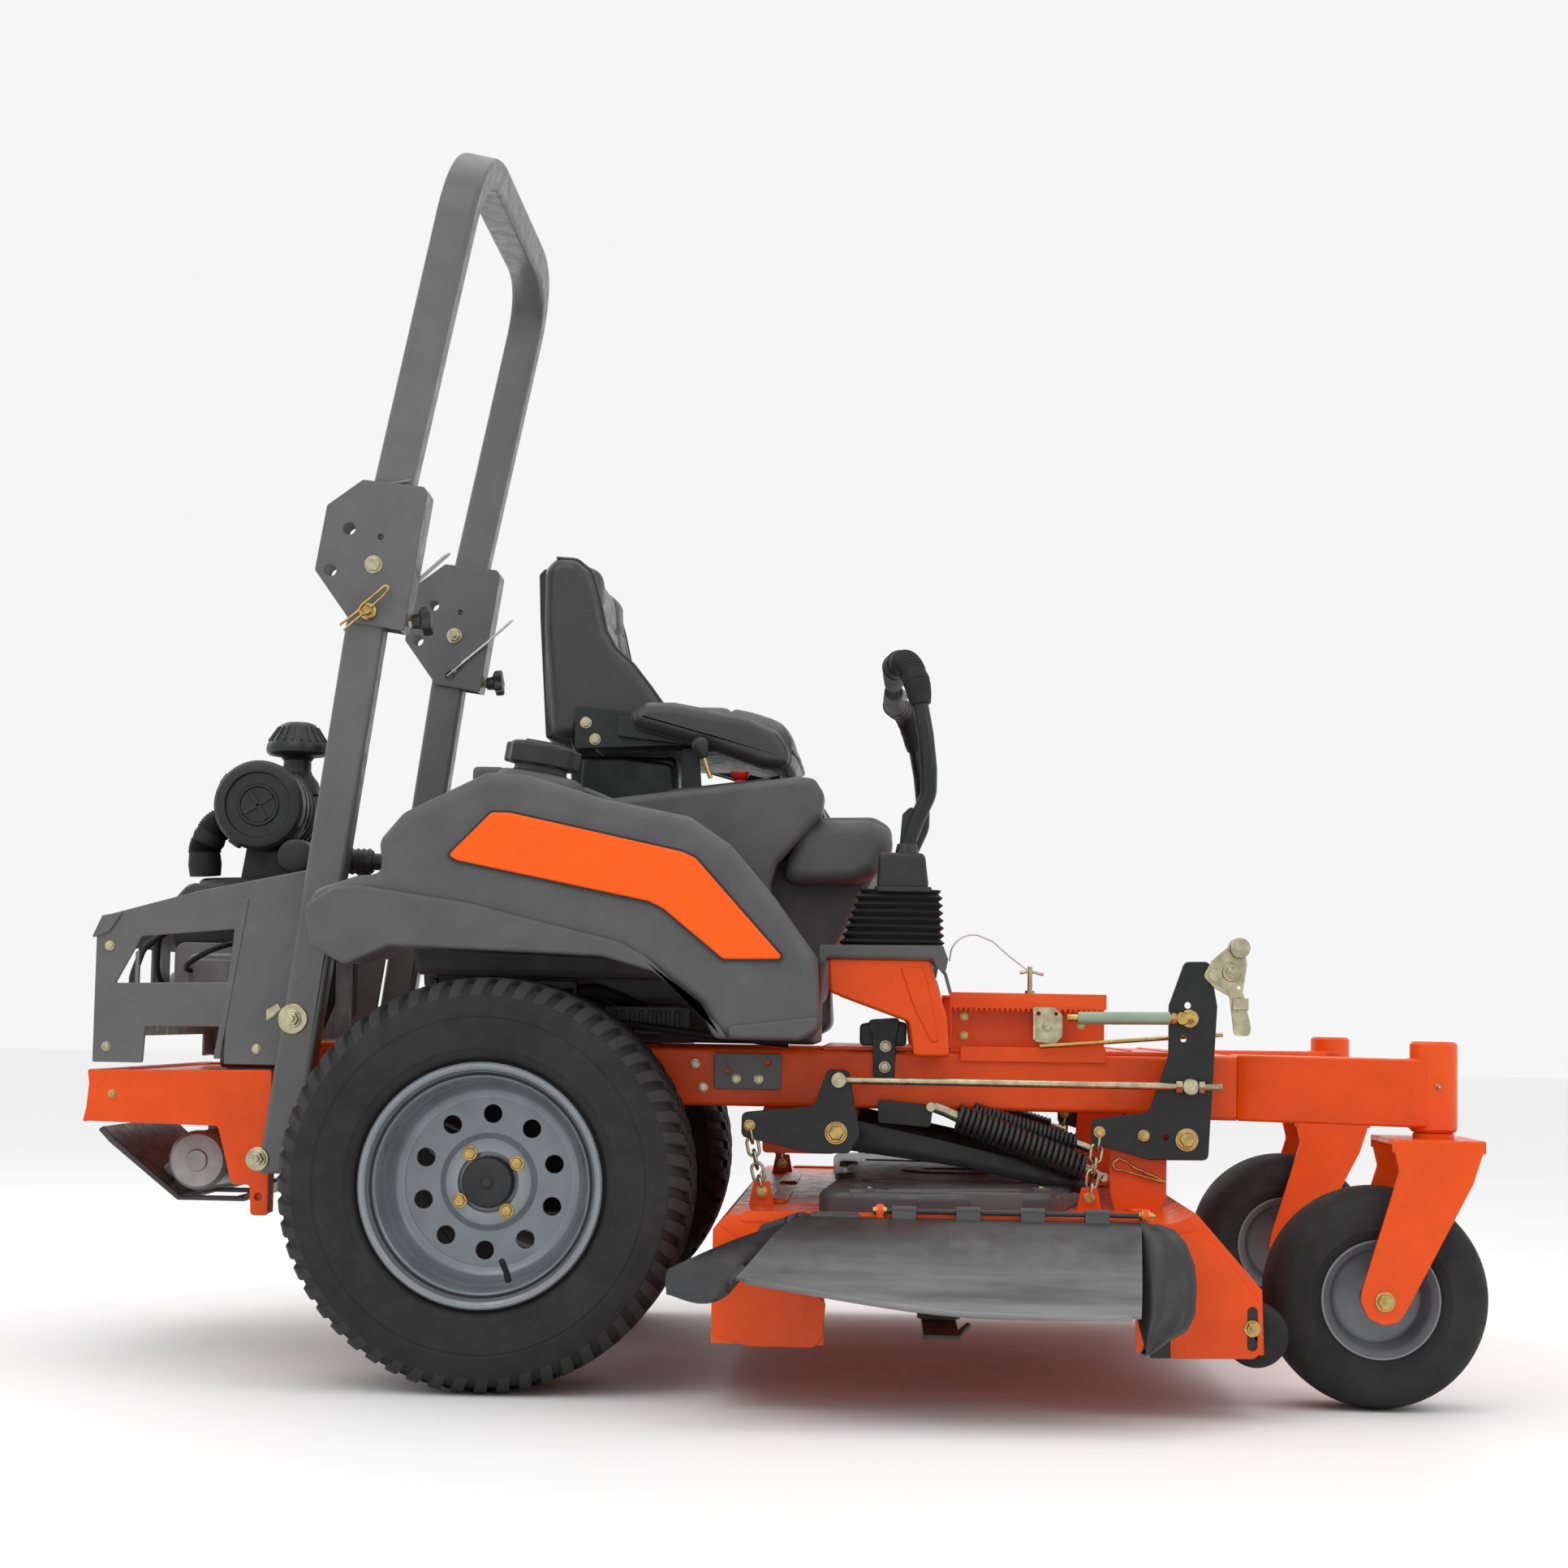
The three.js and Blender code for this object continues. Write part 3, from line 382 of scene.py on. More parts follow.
def turning_area(loop):
    """The area of a loop, positive if it runs anticlockwise."""
    return sum(a.x * b.y - b.x * a.y for a, b in zip(loop, loop[1:] + loop[:1])) / 2


def shrunk(loop, amount):
    """An anticlockwise loop moved inwards by amount, mitred."""
    made = []
    for i, here in enumerate(loop):
        along_in = (here - loop[i - 1]).normalized()
        along_out = (loop[(i + 1) % len(loop)] - here).normalized()
        normal_in = Vector((-along_in.y, along_in.x))
        normal_out = Vector((-along_out.y, along_out.x))
        middle = normal_in + normal_out
        if middle.length < 1e-6:
            made.append(here + normal_in * amount)
            continue
        middle.normalize()
        made.append(here + middle * amount / max(0.35, middle.dot(normal_in)))
    return made


TO_SIDE = {"x": lambda u, v, h: Vector((h, u, v)), "y": lambda u, v, h: Vector((u, h, v)), "z": lambda u, v,
    h: Vector((u, v, h)),}


class Solid:
    """Gathers closed bodies and turns them into one piece."""

    def __init__(self):
        self.bm = bmesh.new()

    def add(self, points, faces, matrix=None):
        """One closed body from its points and faces."""
        made = [self.bm.verts.new(matrix @ p if matrix else p) for p in points]
        fresh = []
        for face in faces:
            corners = [made[i] for i in face]
            if len(set(corners)) > 2:
                fresh.append(self.bm.faces.new(corners))
        bmesh.ops.recalc_face_normals(self.bm, faces=fresh)
        return self

    def box(self, x, y, z, matrix=None):
        """A plain box between two values on each axis."""
        x, y, z = sorted(x), sorted(y), sorted(z)
        points = [Vector((a, b, c)) for a in x for b in y for c in z]
        return self.add(points, [(0, 1, 3, 2), (4, 6, 7, 5), (0, 4, 5, 1), (2, 3, 7, 6), (0, 2, 6, 4),
            (1, 5, 7, 3)], matrix)

    def plate(self, axis, points, low, high, holes=(), radius=0, edge=0.8, steps=2, corner_steps=5,
            matrix=None):
        """A flat outline given thickness along axis, with rounded edges and real holes."""
        low, high = min(low, high), max(low, high)
        loops = []
        for i, loop in enumerate([points, *holes]):
            loop = [Vector(p) for p in loop]
            if (turning_area(loop) > 0) != (i == 0):
                loop = loop[::-1]
            loops.append(loop)
        sharp = loops[0]
        hollow = [(here - before).cross(after - here) < 0 for before, here,
            after in zip(sharp[-1:] + sharp[:-1], sharp, sharp[1:] + sharp[:1])]

        def ring(loop, inset):
            moved = shrunk(loop, inset) if inset else loop
            if loop is not sharp or radius <= 0:
                return moved
            radii = [max(0.3, radius + (inset if inner else -inset)) for inner in hollow]
            return softened(moved, radii, corner_steps)
        low_edge, high_edge = edge if isinstance(edge, tuple) else (edge, edge)
        bends = [pi / 2 * k / steps for k in range(steps + 1)]
        rims = [(high_edge * (1 - sin(t)), high - high_edge * (1 - cos(t))) for t in bends]
        rims += [(low_edge * (1 - sin(t)), low + low_edge * (1 - cos(t))) for t in bends[::-1]]
        place = TO_SIDE[axis]
        vertices, faces, first = [], [], []
        for loop in loops:
            n, base = len(ring(loop, 0)), len(vertices)
            first.append(base)
            for inset, h in rims:
                vertices += [place(p.x, p.y, h) for p in ring(loop, inset)]
            for r in range(len(rims) - 1):
                for i in range(n):
                    a, b = base + r * n + i, base + r * n + (i + 1) % n
                    faces.append((a, b, b + n, a + n))
        for r in (0, len(rims) - 1):
            index, outlines = [], []
            for loop, base in zip(loops, first):
                flat = ring(loop, rims[r][0])
                index += range(base + r * len(flat), base + (r + 1) * len(flat))
                outlines.append([Vector((p.x, p.y, 0)) for p in flat])
            if len(loops) == 1:
                faces.append(tuple(index))
            else:
                faces += [tuple(index[i] for i in t) for t in tessellate_polygon(outlines)]
        return self.add(vertices, faces, matrix)

    def slab(self, axis, u, v, low, high, *holes, **rounding):
        """A rectangular plate from u[0] to u[1] and from v[0] to v[1]."""
        outline = [(u[0], v[0]), (u[0], v[1]), (u[1], v[1]), (u[1], v[0])]
        return self.plate(axis, outline, low, high, *holes, **rounding)

    def turned(self, profile, centre=(0, 0, 0), axis="y", segments=48, matrix=None):
        """A lathe of [radius, height] points around axis through centre."""
        place = TO_SIDE[axis]
        centre = Vector(centre)
        rings, points = [], []
        for radius, h in profile:
            if radius < 1e-6:
                rings.append([len(points)] * segments)
                points.append(centre + place(0, 0, h))
                continue
            rings.append(list(range(len(points), len(points) + segments)))
            for t in around(segments):
                points.append(centre + place(radius * cos(t), radius * sin(t), h))
        faces = []
        pairs = list(zip(rings, rings[1:]))
        if profile[0][0] > 1e-6 or profile[-1][0] > 1e-6:
            pairs.append((rings[-1], rings[0]))
        for a, b in pairs:
            for i in range(segments):
                j = (i + 1) % segments
                face = []
                for corner in (a[i], a[j], b[j], b[i]):
                    if corner not in face:
                        face.append(corner)
                if len(face) > 2:
                    faces.append(tuple(face))
        return self.add(points, faces, matrix)

    def disc(self, radius, ends, *where, **how):
        """A plain round bar or washer between two heights."""
        low, high = ends
        return self.turned([(0, low), (radius, low), (radius, high), (0, high)], *where, **how)

    def tube(self, points, radius, corner=0, sides=14, steps=6, flat=None, closed=False, matrix=None):
        """A round bar along a line; flat = (width, depth) makes it a flattened bar instead."""
        line = softened([Vector(p) for p in points], corner, steps, closed)
        count = len(line)
        ends = []
        for i in range(count):
            if closed:
                ends.append((line[(i + 1) % count] - line[i - 1]).normalized())
            else:
                ends.append((line[min(i + 1, count - 1)] - line[max(i - 1, 0)]).normalized())
        normal = ends[0].orthogonal().normalized()
        if flat is not None:
            normal = Y_AXIS - ends[0] * Y_AXIS.dot(ends[0])
            normal = normal.normalized() if normal.length > 0.05 else Z_AXIS
        vertices, faces = [], []
        radii = radius if isinstance(radius, (list, tuple)) else [radius] * count
        if len(radii) != count:
            radii = [radii[0] + (radii[-1] - radii[0]) * i / (count - 1) for i in range(count)]
        for i, (here, ahead) in enumerate(zip(line, ends)):
            normal = (normal - ahead * normal.dot(ahead)).normalized()
            other = ahead.cross(normal)
            for t in around(sides):
                wide, deep = flat if flat else (radii[i], radii[i])
                vertices.append(here + normal * cos(t) * wide + other * sin(t) * deep)
        turns = count if closed else count - 1
        for i in range(turns):
            for k in range(sides):
                a, b = i * sides + k, i * sides + (k + 1) % sides
                c = ((i + 1) % count) * sides
                faces.append((a, b, c + (k + 1) % sides, c + k))
        if not closed:
            faces.append(tuple(range(sides)))
            faces.append(tuple(range((count - 1) * sides, count * sides)))
        return self.add(vertices, faces, matrix)

    def rod(self, a, b, radius, sides=20, matrix=None):
        """A straight round bar from a to b."""
        return self.tube([a, b], radius, sides=sides, matrix=matrix)

    def bolt(self, place, towards, size=8, washer=True, nut=False, sides=6):
        """A hex head standing on a surface at place, with its washer."""
        seat = facing(place, towards)
        thick = 0.0
        if washer:
            thick = size * 0.18
            self.turned([[0, -1], [size * 1.18, -1], [size * 1.18, thick * 0.6], [size * 1.1, thick],
                [0, thick]], axis="z", segments=24, matrix=seat)
        top = thick + size * 0.62
        self.turned([[0, 0], [size * 0.94, 0], [size * 0.94, top - size * 0.1], [size * 0.8, top],
            [0, top]], axis="z", segments=sides, matrix=seat)
        if nut:
            self.turned([[0, 0], [size * 0.45, 0], [size * 0.45, top + size * 0.42],
                [size * 0.36, top + size * 0.5], [0, top + size * 0.5]], axis="z", segments=14, matrix=seat)
        return self

    def mesh(self, name, angle=35):
        """The gathered bodies as a mesh in the row frame, smooth but for edges over angle."""
        self.bm.normal_update()
        made = bpy.data.meshes.new(name)
        self.bm.transform(Matrix.Translation(ORIGIN) @ Matrix.Scale(MM, 4))
        self.bm.to_mesh(made)
        self.bm.free()
        made.polygons.foreach_set("use_smooth", [True] * len(made.polygons))
        made.set_sharp_from_angle(angle=radians(angle))
        return made

    def done(self, name, material, body, node=None, angle=35, **finish):
        """The gathered bodies as one piece, in place of a CAD node if one is named."""
        return shown(name, self.mesh(name, angle), material, body, node, **finish)

    def fine(self, node, material, body, **finish):
        """The finished form of a CAD node, named after it."""
        return self.done(node + "_fine", material, body, node, **finish)


def shown(name, mesh, material, body=None, node=None, slot=None, bevel=0.0, segments=2, weighted=True):
    """A mesh as a visible piece with its finish, on its body; the slot argument is not used."""
    obj = linked(name, mesh)
    mesh.materials.clear()
    mesh.materials.append(material)
    if bevel:
        rounding = obj.modifiers.new("rounding", "BEVEL")
        rounding.width = bevel * MM
        rounding.segments = segments
        rounding.limit_method = "ANGLE"
        rounding.angle_limit = radians(30)
        rounding.use_clamp_overlap = True
    if weighted:
        normals = obj.modifiers.new("normals", "WEIGHTED_NORMAL")
        normals.keep_sharp = not bevel
    if body:
        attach(obj, body)
    if node:
        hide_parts(node)
    return obj


def refined(node, material, body, slot, bevel):
    """A piece with the CAD node's own shape, its edges rounded as pressed or cast edges are."""
    bm = bmesh.new()
    bm.from_mesh(bpy.data.objects[node].data)
    bmesh.ops.remove_doubles(bm, verts=bm.verts, dist=0.02 * MM)
    bmesh.ops.dissolve_limit(bm, angle_limit=radians(1), verts=bm.verts, edges=bm.edges, delimit=set())
    mesh = bpy.data.meshes.new(node + "_fine")
    bm.to_mesh(mesh)
    bm.free()
    mesh.polygons.foreach_set("use_smooth", [True] * len(mesh.polygons))
    mesh.set_sharp_from_angle(angle=radians(35))
    return shown(node + "_fine", mesh, material, body, node, slot, bevel, segments=3)


# ---------- drive wheels ----------

def lug(solid, centre, rows, angle, width, skew, depth, sign):
    """One tread block: rows of (height across the tyre, top radius), centred on an angle."""
    points, faces = [], []
    for n, (h, radius) in enumerate(rows):
        turn = angle + skew * n
        for r, half in ((radius, width / 2), (radius - depth, width / 2 + 0.006)):
            for side in (-1, 1):
                t = turn + side * half
                points.append(centre + Vector((r * cos(t), sign * h, r * sin(t))))
    for n in range(len(rows) - 1):
        a, b = 4 * n, 4 * n + 4
        faces += [(a, a + 1, b + 1, b), (a + 2, b + 2, b + 3, a + 3), (a, b, b + 2, a + 2),
            (a + 1, a + 3, b + 3, b + 1)]
    last = 4 * (len(rows) - 1)
    faces += [(0, 2, 3, 1), (last, last + 1, last + 3, last + 2)]
    solid.add(points, faces)


def drive_wheel(name, s):
    """A drive wheel with tread, rim, lug bolts, cap, valve and its motor."""
    body = "drive_wheel_" + name
    centre = Vector((0, s * DRIVE_Y, DRIVE_RADIUS))
    tread = DRIVE_RADIUS
    half = [(tread - 7, 0), (tread - 7.3, 50), (tread - 8.5, 98), (tread - 12, 114), (tread - 20, 127),
        (272, 137), (258, 142.5), (244, 144.5), (241, 143), (238, 144.6), (222, 143.5), (206, 139),
        (198, 137.8), (196, 135.6), (190, 132), (184, 127), (180, 119), (174, 117.5), (157.5, 117)]
    profile = [(r, -h) for r, h in half[::-1]] + half[1:]
    tyre = Solid().turned(profile, centre, segments=120)
    count = 56
    pitch = 2 * pi / count
    for i in range(count):
        a = i * pitch - pi / 2
        for sign in (-1, 1):
            shift = 0.5 * pitch if sign > 0 else 0
            lug(tyre, centre, [(74, tread - 0.2), (100, tread - 1.2), (115, tread - 6), (127, tread - 15),
                (135.5, tread - 27)], a + shift, pitch * 0.52, 0.012, 10, sign)
            lug(tyre, centre, [(40, tread), (56, tread), (68, tread - 0.1)], a + shift + 0.35 * pitch,
                pitch * 0.60, 0.022, 9, sign)
        lug(tyre, centre, [(-17, tread), (0, tread), (17, tread)], a, pitch * 0.66, 0.02, 9, 1)
        lug(tyre, centre, [(22, tread), (34, tread)], a + 0.5 * pitch, pitch * 0.5, 0.02, 9, 1)
        lug(tyre, centre, [(-34, tread), (-22, tread)], a + 0.5 * pitch, pitch * 0.5, 0.02, 9, 1)
    tyre.done("drive_tyre_tread_" + name, TYRE, body, "drive_tyre_" + name, angle=28, weighted=False)

    outwards = turned_at(centre, pi if s < 0 else 0, "Z")
    rim = Solid()
    barrel = [(177, 129), (174.5, 131.5), (170, 131.5), (166.5, 129), (164, 122), (162, 114), (155.5, 110),
        (153, 106), (152, 92), (148, 86), (146, 62), (144, 48), (139, 38), (132, 33), (124, 31), (124, 24),
        (134, 20), (146, 10), (149, -6), (150, -106), (164, -128), (168, -131), (174, -131), (177, -128),
        (175, -119), (156.9, -116.5), (156.9, 116.5), (174, 118.5)]
    rim.turned(barrel, segments=96, matrix=outwards)
    holes = [circle(100 * cos(a), 100 * sin(a), 13.5) for a in (radians(20 + 36 * i) for i in range(10))]
    rim.plate("y", circle(0, 0, 130, 96), 22, 28, holes + [circle(0, 0, 46, 48)], edge=1.6, matrix=outwards)
    rim.turned([(45, 8), (74, 20), (74, 26.5), (64, 34), (61, 35), (45, 35)], segments=72, matrix=outwards)
    rim.turned([(0, -158), (22, -158), (22, -60), (30, -56), (30, 10), (0, 10)], segments=32,
        matrix=outwards)
    rim.turned([(0, 2), (60, 2), (62, 4), (62, 18), (0, 18)], segments=48, matrix=outwards)
    rim.done("drive_rim_dish_" + name, RIM, body, "drive_rim_" + name, angle=32)

    bolts = Solid()
    for i in range(4):
        a = radians(56 + 90 * i)
        place = outwards @ Vector((50 * cos(a), 34.5, 50 * sin(a)))
        bolts.bolt(place, (0, s, 0), 9.5)
    bolts.done("drive_lug_bolts_" + name, GOLD_ZINC, body, bevel=0.4)
    cap = Solid()
    cap.turned([(0, 20), (36, 20), (37.5, 22), (37.5, 44), (35, 50), (28, 52.5), (12, 53), (0, 53)],
        segments=48, matrix=outwards)
    cap.turned([(0, 50), (9, 50), (9, 56), (7, 57.5), (0, 57.5)], segments=24, matrix=outwards)
    cap.done("drive_hub_cap_" + name, BLACK_PLASTIC, body, angle=30)
    valve = Solid()
    valve.tube([(-42, 104, -137), (-40, 112, -124), (-37, 122, -114)], [5.2, 4.4, 4.4], sides=16,
        matrix=outwards)
    valve.tube([(-37.3, 121, -115), (-34.5, 129, -106)], [4.8, 4.8], sides=8, matrix=outwards)
    valve.done("drive_valve_" + name, FOAM, body, slot="tyre_rubber", bevel=0.5)

    motor = Solid()
    motor.turned([(0, s * 250), (58, s * 250), (62, s * 254), (62, s * 300), (52, s * 306), (52, s * 340),
        (48, s * 345.5), (0, s * 345.5)], (0, 0, DRIVE_RADIUS), segments=40)
    motor.box((-55, 55), (s * 302, s * 340), (DRIVE_RADIUS, 411.7))
    motor.box((-70, 80), (s * 181, s * 262), (240, 372))
    motor.turned([(0, 372), (34, 372), (34, 392), (30, 396), (0, 396)], (5, s * 222, 0), "z", 32)
    motor.tube([(-66, s * 196, 356), (-104, s * 190, 372), (-168, s * 184, 396)], 9, 18)
    motor.tube([(-66, s * 236, 300), (-112, s * 230, 318), (-176, s * 214, 380)], 9, 18)
    for x in (-52, 62):
        for z in (256, 356):
            motor.bolt((x, s * 181, z), (0, -s, 0), 7)
    motor.fine("wheel_motor_" + name, ENGINE_BLACK, "chassis", bevel=2.5)


# ---------- casters ----------

def caster(name, s):
    """A caster wheel in its fork, and the arm that carries it."""
    hub = Vector((CASTER_X, s * CASTER_Y, CASTER_RADIUS))
    half = [(CASTER_RADIUS, 0), (159.6, 22), (157.6, 42), (153, 58), (146, 69.5), (136, 76.5), (124, 79.6),
        (112, 79), (103, 76.6), (101, 76.8), (99, 75), (92, 72), (86.5, 66), (84.8, 60)]
    profile = [(r, -h) for r, h in half[::-1]] + half[1:]
    Solid().turned(profile, hub, segments=112).fine("caster_tyre_" + name, TYRE, "caster_wheel_" + name,
        angle=40, weighted=False)
    rim = Solid()
    side = [(24, 88), (24.5, 87), (24.5, 24), (34, 20), (58, 17), (64, 20), (68, 30), (71, 52), (75, 59),
        (79, 62), (83, 66.5), (85.5, 66.5), (86.3, 64.5), (84.7, 59)]
    other = [(r, -h) for r, h in side[::-1]]
    rim.turned([(10.2, -88), (24, -88), *other[-2::-1], (84.4, -57), (84.4, 57), *side[::-1], (10.2, 88)],
        hub, segments=72)
    rim.fine("caster_rim_" + name, CASTER_GREY, "caster_wheel_" + name, angle=34)

    body = "caster_" + name
    y = s * CASTER_Y
    x0 = CASTER_PIVOT_X
    plate = [(x0 - 76, 388), (x0 + 58, 388), (x0 + 39, 329), (x0 - 54, 150), (x0 - 66, 132), (x0 - 88, 127),
        (x0 - 110, 137), (x0 - 121, 160), (x0 - 118, 178), (x0 - 66, 345)]
    fork = Solid()
    for t in (-1, 1):
        fork.plate("y", plate, y + t * 92, y + t * 100, radius=14, edge=1.6)
    fork.plate("x", [(y - 99.2, 372), (y - 99.2, 390.5), (y + 99.2, 390.5), (y + 99.2, 372), (y + 93, 372),
        (y + 93, 383), (y - 93, 383), (y - 93, 372)], x0 - 75.5, x0 + 57.5, radius=5, edge=1.2)
    fork.turned([(0, 387), (29, 387), (30, 389), (30, 396.5), (28, 398.3), (15, 398.5), (15, 522),
        (0, 522)], (x0, y, 0), "z", 40)
    fork.fine("caster_fork_" + name, ORANGE, body, bevel=0.0)
    axle = Solid()
    axle.rod((hub.x, y - 100, hub.z), (hub.x, y + 100, hub.z), 9)
    axle.bolt((hub.x, y + s * 99.8, hub.z), (0, s, 0), 12.5)
    axle.bolt((hub.x, y - s * 99.8, hub.z), (0, -s, 0), 12.5, nut=True)
    axle.done("caster_axle_" + name, GOLD_ZINC, body, bevel=0.5)

    arm = Solid()
    outline = [(1110.4, s * 286), (1110.4, s * 397), (1352, s * 543), (1386, s * 541), (1386, s * 478),
        (1366, s * 471)]
    arm.plate("z", outline, 406, 505, radius=4, edge=4, steps=3)
    arm.turned([(0, 399), (30.5, 399), (34.5, 403), (34.5, 527), (30.5, 531), (24, 531), (22, 526.5),
        (0, 526.5)], (x0, y, 0), "z", 56)
    # the welds between the arm and the pivot tube
    bends = [radians(d - 154 * s) for d in range(-76, 77, 8)]
    for z in (407.5, 503.5):
        weld = [(x0 + 36.5 * cos(a), y + 36.5 * sin(a), z) for a in bends]
        arm.tube(weld, 3, sides=8)
    arm.fine("caster_arm_" + name, ORANGE, "chassis", angle=40)
    top = Solid()
    top.turned([(0, 526.5), (21, 526.5), (21, 529), (19, 530.5), (0, 531)], (x0, y, 0), "z", 36)
    top.done("caster_dust_cap_" + name, BLACK_PLASTIC, "chassis")
    nipple = Solid()
    nipple.turned([(0, 0), (4.6, 0), (4.6, 4), (3, 5), (3, 9), (2, 12), (0, 12)], axis="z", segments=6,
        matrix=turned_at((x0, y + s * 34.2, 466), -s * pi / 2, "X"))
    nipple.done("caster_grease_nipple_" + name, ZINC, "chassis", bevel=0.3)


# ---------- frame ----------

def bolt_row(name, body, places, towards, size, material=GOLD_ZINC):
    """Bolts of one kind at several places as one piece."""
    row = Solid()
    for place in places:
        row.bolt(place, towards, size)
    row.done(name, material, body, bevel=0.35)


def frame_side(name, s):
    """One frame rail with the tower, plates, hoses and foot rest on it."""
    rail = Solid()
    rail.slab("x", (s * RAIL_IN, s * RAIL_OUT), (412, 500), -348, 1030, radius=8, edge=0.6)
    tower = [(495, 588), (491, 640), (646, 640), (652, 615), (672, 552), (676, 494.5), (622, 494.5),
        (614, 546)]
    rail.plate("y", tower, s * 336, s * 448, radius=7, edge=5, steps=4)
    # the pressed crease down the tower's face and the weld along its foot
    rail.plate("y", [(600, 628), (634, 628), (642, 604), (660, 516), (648, 516), (622, 566)], s * 446,
        s * 449.6, radius=6, edge=2.6, steps=3)
    rail.tube([(640, s * 346.5, 501), (676, s * 346.5, 497)], 3, sides=8)
    rail.fine("frame_rail_" + name, ORANGE, "chassis", angle=38)
    trim = Solid()
    trim.tube([(486, s * 392, 641.2), (492, s * 436, 641.2), (648, s * 449.6, 641), (668, s * 449.6, 618),
        (676, s * 449.6, 590)], 2.6, 8, sides=10)
    trim.slab("z", (486, 664), (s * 354, s * 452), 638.5, 643, radius=8, edge=1.6)
    trim.plate("y", [(478, 640), (478, 659), (664, 661), (672, 640), (668, 620), (656, 626), (648, 643),
        (492, 643), (484, 628)], s * 452, s * 457, radius=4, edge=1.4)
    trim.slab("z", (480, 666), (s * 446, s * 456), 641, 646, radius=3, edge=1)
    trim.done("boot_flange_" + name, GREY_PLASTIC, "chassis")
    plate = Solid()
    plate.slab("y", (318, 421), (438, 493), s * RAIL_OUT, s * 351, [circle(338, 466, 5),
        circle(400, 479, 5)], radius=5, edge=1.2)
    plate.done("rail_plate_" + name, GREY_PAINT, "chassis")
    bolt_row("rail_plate_bolts_" + name, "chassis", [(352, s * 351, 454), (386, s * 351, 454),
        (288, s * 345.2, 476), (301, s * 345.2, 440)], (0, s, 0), 6.5, ZINC)
    link_plate = Solid()
    link_plate.plate("y", [(562, 452), (560, 520), (552, 548), (602, 552), (596, 520), (594, 452)],
        s * 345.2, s * 350, radius=7, edge=1.2)
    link_plate.plate("y", [(540, 508), (540, 542), (612, 546), (612, 508)], s * 300, s * 342, radius=8,
        edge=3, steps=3)
    link_plate.done("brake_link_plate_" + name, BLACK_STEEL, "chassis")
    bolt_row("brake_link_bolts_" + name, "chassis", [(580, s * 350, 508), (579, s * 350, 476)], (0, s, 0),
        8, ZINC)
    drop = Solid()
    drop.plate("y", [(392, 413), (392, 340), (500, 340), (530, 356), (540, 413)], s * 296, s * 301,
        radius=8, edge=1.3)
    drop.done("rear_drop_plate_" + name, ORANGE, "chassis")
    # slotted battery and relay box between the rail and the tank
    boxed = Solid()
    slots = [slotted(x, 528, x, 552, 3.2) for x in range(158, 264, 14)]
    boxed.slab("y", (143, 275), (519, 562), s * 300, s * 306, slots, radius=5, edge=1)
    boxed.box((145, 273), (s * 268, s * 300), (520, 561))
    boxed.done("slotted_box_" + name, BLACK_PLASTIC, "chassis", bevel=1.2)
    # frame bracket that carries the tank, and its hoses down to the wheel motor
    bracket = Solid()
    bracket.slab("x", (s * 300, s * 340), (500, 600), -120, -114, radius=4, edge=1)
    bracket.slab("x", (s * 300, s * 340), (500, 600), 96, 102, radius=4, edge=1)
    bracket.box((-118, 100), (s * 312, s * 330), (586, 598))
    bracket.done("tank_bracket_" + name, BLACK_STEEL, "chassis", bevel=1)
    hose = Solid()
    hose.tube([(-20, s * 262, 372), (-10, s * 292, 520), (40, s * 304, 560), (120, s * 282, 590),
        (200, s * 240, 560)], 10, 60, sides=14)
    hose.tube([(-20, s * 235, 396), (30, s * 246, 540), (90, s * 262, 580), (180, s * 250, 540)], 9, 60,
        sides=14)
    hose.tube([(-150, s * 300, 512), (-60, s * 318, 536), (90, s * 322, 545), (300, s * 318, 520),
        (430, s * 312, 508)], 6, 60, sides=12)
    hose.done("hydraulic_hoses_" + name, FOAM, "chassis", slot="engine_black")

    foot = Solid()
    foot.slab("z", (677, 917), (s * 296, s * 346), 588, 592.6, radius=3, edge=1.2)
    foot.slab("y", (678, 916), (504.4, 589), s * 314, s * 318, radius=3, edge=1)
    lip = [(677, 592.5), (677, 569)]
    for i in range(30):
        x = 677 + 8 * i
        lip += [(x + 1, 562), (x + 4, 569), (x + 6.4, 569)]
    lip += [(917, 569), (917, 592.5)]
    foot.plate("y", lip, s * 344.2, s * 347.8, edge=0.5, steps=1)
    foot.slab("x", (s * 314, s * RAIL_OUT), (505, 590), 678, 681, radius=3, edge=0.8)
    foot.plate("y", [(694, 487), (694, 510), (916, 511), (916, 488)], s * 346, s * 352, radius=2, edge=1.6)
    foot.done("foot_rest_" + name, ORANGE, "chassis")
    bolt_row("foot_rest_bolts_" + name, "chassis", [(700, s * 318, 526), (700, s * 318, 556),
        (880, s * 318, 545)], (0, s, 0), 6)


